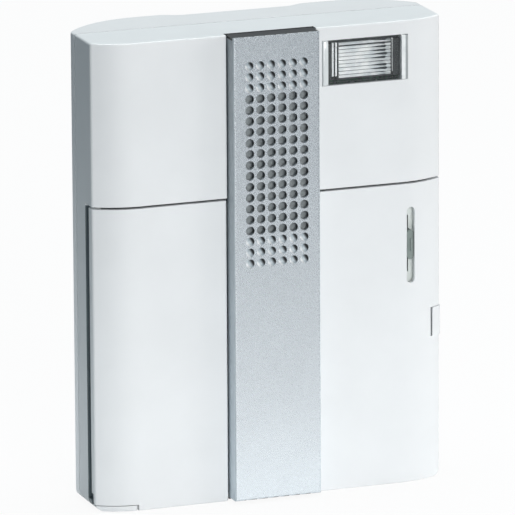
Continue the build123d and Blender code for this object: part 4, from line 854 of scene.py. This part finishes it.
def addPosts(plan):
    # one post is modelled, and the others are its copies, one of them thinner
    first, radius, depth = plan["postX"][0], plan["postRadius"][0], plan["postY"]
    middle, height = (plan["postLow"] + plan["postHigh"]) / 2, plan["postHigh"] - plan["postLow"]
    post = rod("post", (first, depth, middle), radius, height, plan["postSides"])
    pick(post, looking("z", 1))
    inset(radius * plan["tipShare"])
    slide(0, 0, plan["tipRise"])
    posts = [shaped(post)]
    for x, wide in zip(plan["postX"][1:], plan["postRadius"][1:]):
        share = wide / radius
        thinner = Matrix.Diagonal((share, share, 1, 1))
        posts.append(copied(post, "post", (x - first * share, depth - depth * share, 0), thinner))

    first = plan["beadX"][0]
    middle = plan["postLow"] - plan["beadHeight"] / 2 + plan["beadLap"]
    bead = rod("bead", (first, depth, middle), plan["beadRadius"], plan["beadHeight"], plan["beadSides"])
    shaped(softened(bead, plan["beadSoft"], plan["beadSteps"]))
    beads = [bead] + [copied(bead, "bead", (x - first, 0, 0)) for x in plan["beadX"][1:]]
    # painted highlight: the plated posts are given a white plastic, standing in for the light they reflect
    white = moulded("postPaintedHighlight", colours["post"], rough=0.25, grain=0.3, depth=0.002)
    fitted(joined(posts, "lampPosts"), white, "reflector_chrome", "case")
    fitted(joined(beads, "postBeads"), finishes["soft_rubber"], "soft_rubber", "case")


addLensCap(flash)
addRibWindow(flash)
addPosts(flash)
print("flash lamp is in place")


# volume knob: a rounded bar with a shallow dish and an upright ridge for the nail
knob = {"ridge": 0.4, "ridgeHalf": 2.5, "ridgeWidth": 0.7, "rim": 0.32, "dish": 0.22,
        "endSpare": 0.02, "endSteps": 8, "softEdge": 0.14}


def addKnob(plan):
    low, high = corners("volume_knob")
    middle = (low + high) / 2
    face = low.y + plan["ridge"]
    bar = block("volumeBar", (low.x, face, low.z), high)
    pick(bar, lambda a, b: abs(a.x - b.x) < close and abs(a.z - b.z) < close, "edges")
    bevel((high.x - low.x) / 2 - plan["endSpare"], plan["endSteps"])
    pick(bar, looking("y", -1))
    inset(plan["rim"])
    extrude(0, plan["dish"], 0)
    floor = face + plan["dish"]
    left, right = middle.x, middle.x + plan["ridgeWidth"]
    foot, head = middle.z - plan["ridgeHalf"], middle.z + plan["ridgeHalf"]

    def dished(centre, normal):
        return normal.y < -facing and abs(centre.y - floor) < close
    for x in (left, right):
        cut(bar, (x, 0, 0), (1, 0, 0), dished)
    for z in (foot, head):
        cut(bar, (0, 0, z), (0, 0, 1), dished)
    pick(bar, lambda centre, normal: (
        normal.y < -facing and left < centre.x < right and foot < centre.z < head))
    extrude(0, low.y - floor, 0)
    softened(bar, plan["softEdge"])
    fitted(shaped(bar), finishes["knob_plastic"], "knob_plastic", "volume", "volume_knob")


addKnob(knob)
print("volume knob is in place")


# keys behind the right door: a dished cap, the flange that the panel keeps in, and a stem
keys = {"flange": 0.8, "capRadius": 3.2, "flangeRadius": 4.0, "stemRadius": 1.5, "gap": 0.1, "sides": 48,
        "panelBack": -24.5, "softEdge": 0.45, "softSteps": 4, "flangeSoft": 0.12,
        "rim": 0.7, "dish": 0.35, "dishSlope": 0.5, "hollow": 0.07, "hollowSlope": 0.8}


def addKeys(plan):
    low, high = corners("melody_button")
    x, z = (low.x + high.x) / 2, (low.z + high.z) / 2
    front = plan["panelBack"] + plan["gap"]
    cap = rod("keyCap", (x, (low.y + front) / 2, z), plan["capRadius"], front - low.y, plan["sides"], "Y")
    pick(cap, looking("y", -1))
    bevel(plan["softEdge"], plan["softSteps"])
    pick(cap, lambda centre, normal: normal.y < -flat and abs(centre.y - low.y) < close)
    inset(plan["rim"])
    inset(plan["dishSlope"], -plan["dish"])
    inset(plan["hollowSlope"], -plan["hollow"])
    back = front + plan["flange"]
    middle = (x, (front + back) / 2, z)
    flange = rod("keyFlange", middle, plan["flangeRadius"], plan["flange"], plan["sides"], "Y")
    pick(flange, looking("y", 1))
    inset(plan["flangeRadius"] - plan["stemRadius"])
    extrude(0, high.y - back, 0)
    softened(shaped(flange), plan["flangeSoft"])
    key = shaped(joined([shaped(cap), flange], "melodyKey"))
    twin = copied(key, "learnKey", corners("learn_button")[0] - low)
    fitted(key, finishes["button_plastic"], "button_plastic", "melody_cap", "melody_button")
    fitted(twin, finishes["button_plastic"], "button_plastic", "learn_cap", "learn_button")


# lever of the mode switch: a square cap with grooves across its face, on a stem
modeLever = {"half": 1.3, "reach": 8.3, "stem": 0.8, "ridges": 2, "groove": 0.3, "softEdge": 0.08}


def addModeLever(plan):
    low, high = corners("mode_switch")
    middle, half = (low + high) / 2, plan["half"]
    left, base = middle.x - half, low.y + plan["reach"]
    lever = block("modeLever", (left, low.y, middle.z - half), (middle.x + half, base, middle.z + half))
    stripes = 2 * plan["ridges"] + 1
    step = 2 * half / stripes
    for index in range(1, stripes):
        cut(lever, (left + index * step, 0, 0), (1, 0, 0))
    pick(lever, lambda centre, normal: normal.y < -facing and int((centre.x - left) / step) % 2)
    slide(0, plan["groove"], 0)
    pick(lever, looking("y", 1))
    inset(half - plan["stem"])
    extrude(0, high.y - base, 0)
    softened(lever, plan["softEdge"])
    fitted(shaped(lever), finishes["button_plastic"], "button_plastic", "mode_lever", "mode_switch")


addKeys(keys)
addModeLever(modeLever)
print("keys and mode lever are in place")


# cells: foil jacket with rolled ends, and the steel caps with their nub
cell = {
    "sides": 72, "jacketSpare": 0.02, "jacketAngle": 40,
    "roll": 0.7, "rollDepth": 0.25, "rollSlope": 0.12, "rollSteps": 4,
    "capSides": 48, "capGap": 0.7, "capSunk": 0.3, "capWall": 0.5,
    "nub": 1.5, "nubRadius": 2.9, "nubRise": 0.03, "collar": 2.6, "collarSlope": 1.2, "collarFlat": 1.3,
    "shoulder": 0.5, "capSoft": 0.3, "capSteps": 3, "capAngle": 50,
    "baseRim": 1.6, "baseSlope": 0.6, "baseDepth": 0.21, "baseSoft": 0.1,
}


def cellJacketShape(plan, middle, radius, foot, head):
    place = (middle.x, middle.y, (foot + head) / 2)
    jacket = rod("jacket", place, radius - plan["jacketSpare"], head - foot, plan["sides"])
    pick(jacket, lambda centre, normal: abs(normal.z) > facing)
    bevel(plan["rollDepth"] * 2, plan["rollSteps"])
    pick(jacket, lambda centre, normal: abs(normal.z) > flat)
    inset(plan["roll"], each=True)
    inset(plan["rollSlope"], -plan["rollDepth"], each=True)
    return shaped(jacket, plan["jacketAngle"])


def cellSteelShape(plan, middle, radius, foot, head):
    inner = radius - plan["roll"] - plan["capGap"]
    wall, sides = plan["capWall"], plan["capSides"]
    cap = rod("cap", (middle.x, middle.y, head - plan["capSunk"]), inner, wall, sides)
    pick(cap, looking("z", 1))
    inset(inner - plan["nubRadius"] - plan["collar"])
    inset(plan["collarSlope"], plan["shoulder"])
    inset(plan["collarFlat"])
    extrude(0, 0, plan["nub"] - plan["shoulder"] + plan["nubRise"])
    cap = softened(shaped(cap), plan["capSoft"], plan["capSteps"], plan["capAngle"])
    base = rod("base", (middle.x, middle.y, foot + plan["capSunk"]), inner, wall, sides)
    pick(base, looking("z", -1))
    inset(plan["baseRim"])
    inset(plan["baseSlope"], plan["baseDepth"])
    base = softened(shaped(base), plan["baseSoft"])
    return shaped(joined([cap, base], "steel"))


def addCells(plan):
    low, high = corners("battery_cell_1")
    middle, radius = (low + high) / 2, (high.x - low.x) / 2
    foot, head = low.z, high.z - plan["nub"]
    jacket = cellJacketShape(plan, middle, radius, foot, head)
    steel = cellSteelShape(plan, middle, radius, foot, head)
    # the cells of the right column, 3 and 4, are upside down
    for index in (1, 2, 3, 4):
        node = "battery_cell_%d" % index
        turned = index > 2
        turn = Matrix.Rotation(math.pi, 4, "X") if turned else Matrix.Identity(4)
        move = sum(corners(node), Vector()) / 2 - turn @ middle
        wrap = copied(jacket, "cellJacket%d" % index, move, turn)
        ends = copied(steel, "cellSteel%d" % index, move, turn)
        heights = sorted(((turn @ Vector((0, 0, z))).z + move.z for z in (foot, head)), reverse=turned)
        fitted(wrap, cellJacket("cellJacket%d" % index, *heights), "cell_jacket", "case", node)
        fitted(ends, finishes["contact_metal"], "contact_metal", "case")
    for model in (jacket, steel):
        bpy.data.objects.remove(model)


addCells(cell)
print("cells are in place")


# speaker cloth, pulled flat over the core behind the holes
cloth = {"wall": 0.28, "across": 12, "along": 26, "give": 0.12}


def addCloth(plan):
    low, high = corners("speaker_cloth")
    wide, tall = high.x - low.x, high.z - low.z
    leaveEditing()
    bpy.ops.mesh.primitive_grid_add(
        x_subdivisions=plan["across"], y_subdivisions=plan["along"], size=mm,
        location=(low + high) / 2 * mm, rotation=(math.pi / 2, 0, 0), scale=(1, 1, 1))
    sheet = bpy.context.active_object
    sheet.scale = (wide, tall, 1)
    begun("speakerCloth")
    # it gives a little between its glued edges
    for point in sheet.data.vertices:
        across = (point.co.x / mm - low.x) / wide
        along = (point.co.z / mm - low.z) / tall
        point.co.y += plan["give"] * math.sin(math.pi * across) * math.sin(math.pi * along) * mm
    modified(sheet, "SOLIDIFY", thickness=plan["wall"] * mm, offset=0)
    fitted(shaped(sheet), finishes["speaker_cloth"], "speaker_cloth", "case", "speaker_cloth")


addCloth(cloth)
print("speaker cloth is in place")


# floor and light. The camera sees the floor as white paper that takes the shadow. The light that
# it throws back comes from its pale middle, and gloss sees it fall to grey in front of the case,
# so that the white plastic keeps soft edges
studio = {
    "floorZ": -92.5,
    "floorHalf": 9000,
    "floorSides": 96,
    "floorColour": shade(240, 241, 242),
    "floorRough": 0.9,
    "mottleSize": 400,
    "mottleDark": 0.985,
    "floorLift": 0.92,
    "paleTo": 120,
    "greyFrom": 620,
    "farColour": shade(104, 110, 114),
    "glossLift": 1.0,
    "glossTo": 900,
    "glossBend": 0.6,
    "glossFar": shade(104, 112, 119),
    "glossBack": 50,
    "glossFront": -150,
    "sky": 0.07,
    "skyGloss": 0.4,
    "skyColour": (0.2, 0.62, 0.95, 1),
    "lamps": {
        "frontPanel": {"place": (0, -2600, 500), "size": 1300, "power": 44, "colour": (1, 0.985, 0.975)},
        "topPanel": {"place": (100, 300, 2100), "size": 1500, "power": 39, "colour": (0.95, 1, 1)},
        "rightPanel": {"place": (2300, -700, 500), "size": 1300, "power": 20, "colour": (1, 0.95, 0.92)},
    },
}
white = (1, 1, 1, 1)


def floorPaper(plan):
    paper = Finish("floorPaper", {"Roughness": plan["floorRough"]})
    rays = paper.add("LightPath")
    seen = rays.out("Is Camera Ray")
    away = paper.add("VectorMath", {"operation": "LENGTH"}, {0: paper.spot()}).out("Value")
    far = paper.between(away, plan["paleTo"] * mm, plan["greyFrom"] * mm)
    sweep = paper.blend(far, plan["floorColour"], plan["farColour"])
    dull = scaled(plan["floorColour"], plan["mottleDark"])
    pale = paper.blend(paper.noise(plan["mottleSize"], detail=1), plan["floorColour"], dull)
    paper.set("Base Color", paper.blend(seen, sweep, pale))
    [y] = paper.axes("Y")
    mirrored = rays.out("Is Glossy Ray") * paper.between(y, plan["glossBack"] * mm, plan["glossFront"] * mm)
    fall = paper.between(away, low=0, high=plan["glossTo"] * mm).maths("POWER", plan["glossBend"])
    dusk = paper.blend(fall * mirrored, white, plan["glossFar"])
    glow = paper.add("Emission", {}, {"Color": dusk, "Strength": 1.0})
    lift = (seen * plan["floorLift"]).maths("MAXIMUM", mirrored * plan["glossLift"])
    mixed = paper.add("MixShader", {}, {0: lift, 1: paper.surface, 2: glow})
    paper.feed(paper.end.inputs["Surface"], mixed)
    return paper.material


def addWorld(plan):
    # dim blue sky for the light, white for the camera and, in part, for gloss
    world = bpy.data.worlds.new("studioWorld")
    world.use_nodes = True
    bpy.context.scene.world = world
    sky = Finish("sky", world=world)
    rays = sky.add("LightPath")
    seen = rays.out("Is Camera Ray").maths("MAXIMUM", rays.out("Is Transmission Ray"))
    seen = seen.maths("MAXIMUM", rays.out("Is Glossy Ray") * plan["skyGloss"])
    dim = sky.add("Background", {}, {"Color": plan["skyColour"], "Strength": plan["sky"]})
    bright = sky.add("Background", {}, {"Color": white, "Strength": 1.0})
    both = sky.add("MixShader", {}, {0: seen, 1: dim, 2: bright})
    sky.add("OutputWorld", {}, {"Surface": both}, bare=True)


def addStudio(plan):
    bpy.ops.mesh.primitive_circle_add(vertices=plan["floorSides"], radius=plan["floorHalf"] * mm,
                                      fill_type="NGON", location=(0, 0, plan["floorZ"] * mm))
    floor = bpy.context.active_object
    floor.name = "studioFloor"
    floor.data.materials.append(floorPaper(plan))
    addWorld(plan)
    for name, lamp in plan["lamps"].items():
        data = bpy.data.lights.new(name, "AREA")
        data.shape = "SQUARE"
        data.size = lamp["size"] * mm
        data.energy = lamp["power"]
        data.color = lamp["colour"]
        panel = bpy.data.objects.new(name, data)
        bpy.context.collection.objects.link(panel)
        panel.location = Vector(lamp["place"]) * mm
        panel.rotation_euler = (-panel.location).to_track_quat("-Z", "Y").to_euler()
        panel.visible_camera = False


addStudio(studio)
print("floor and lamps are in place")
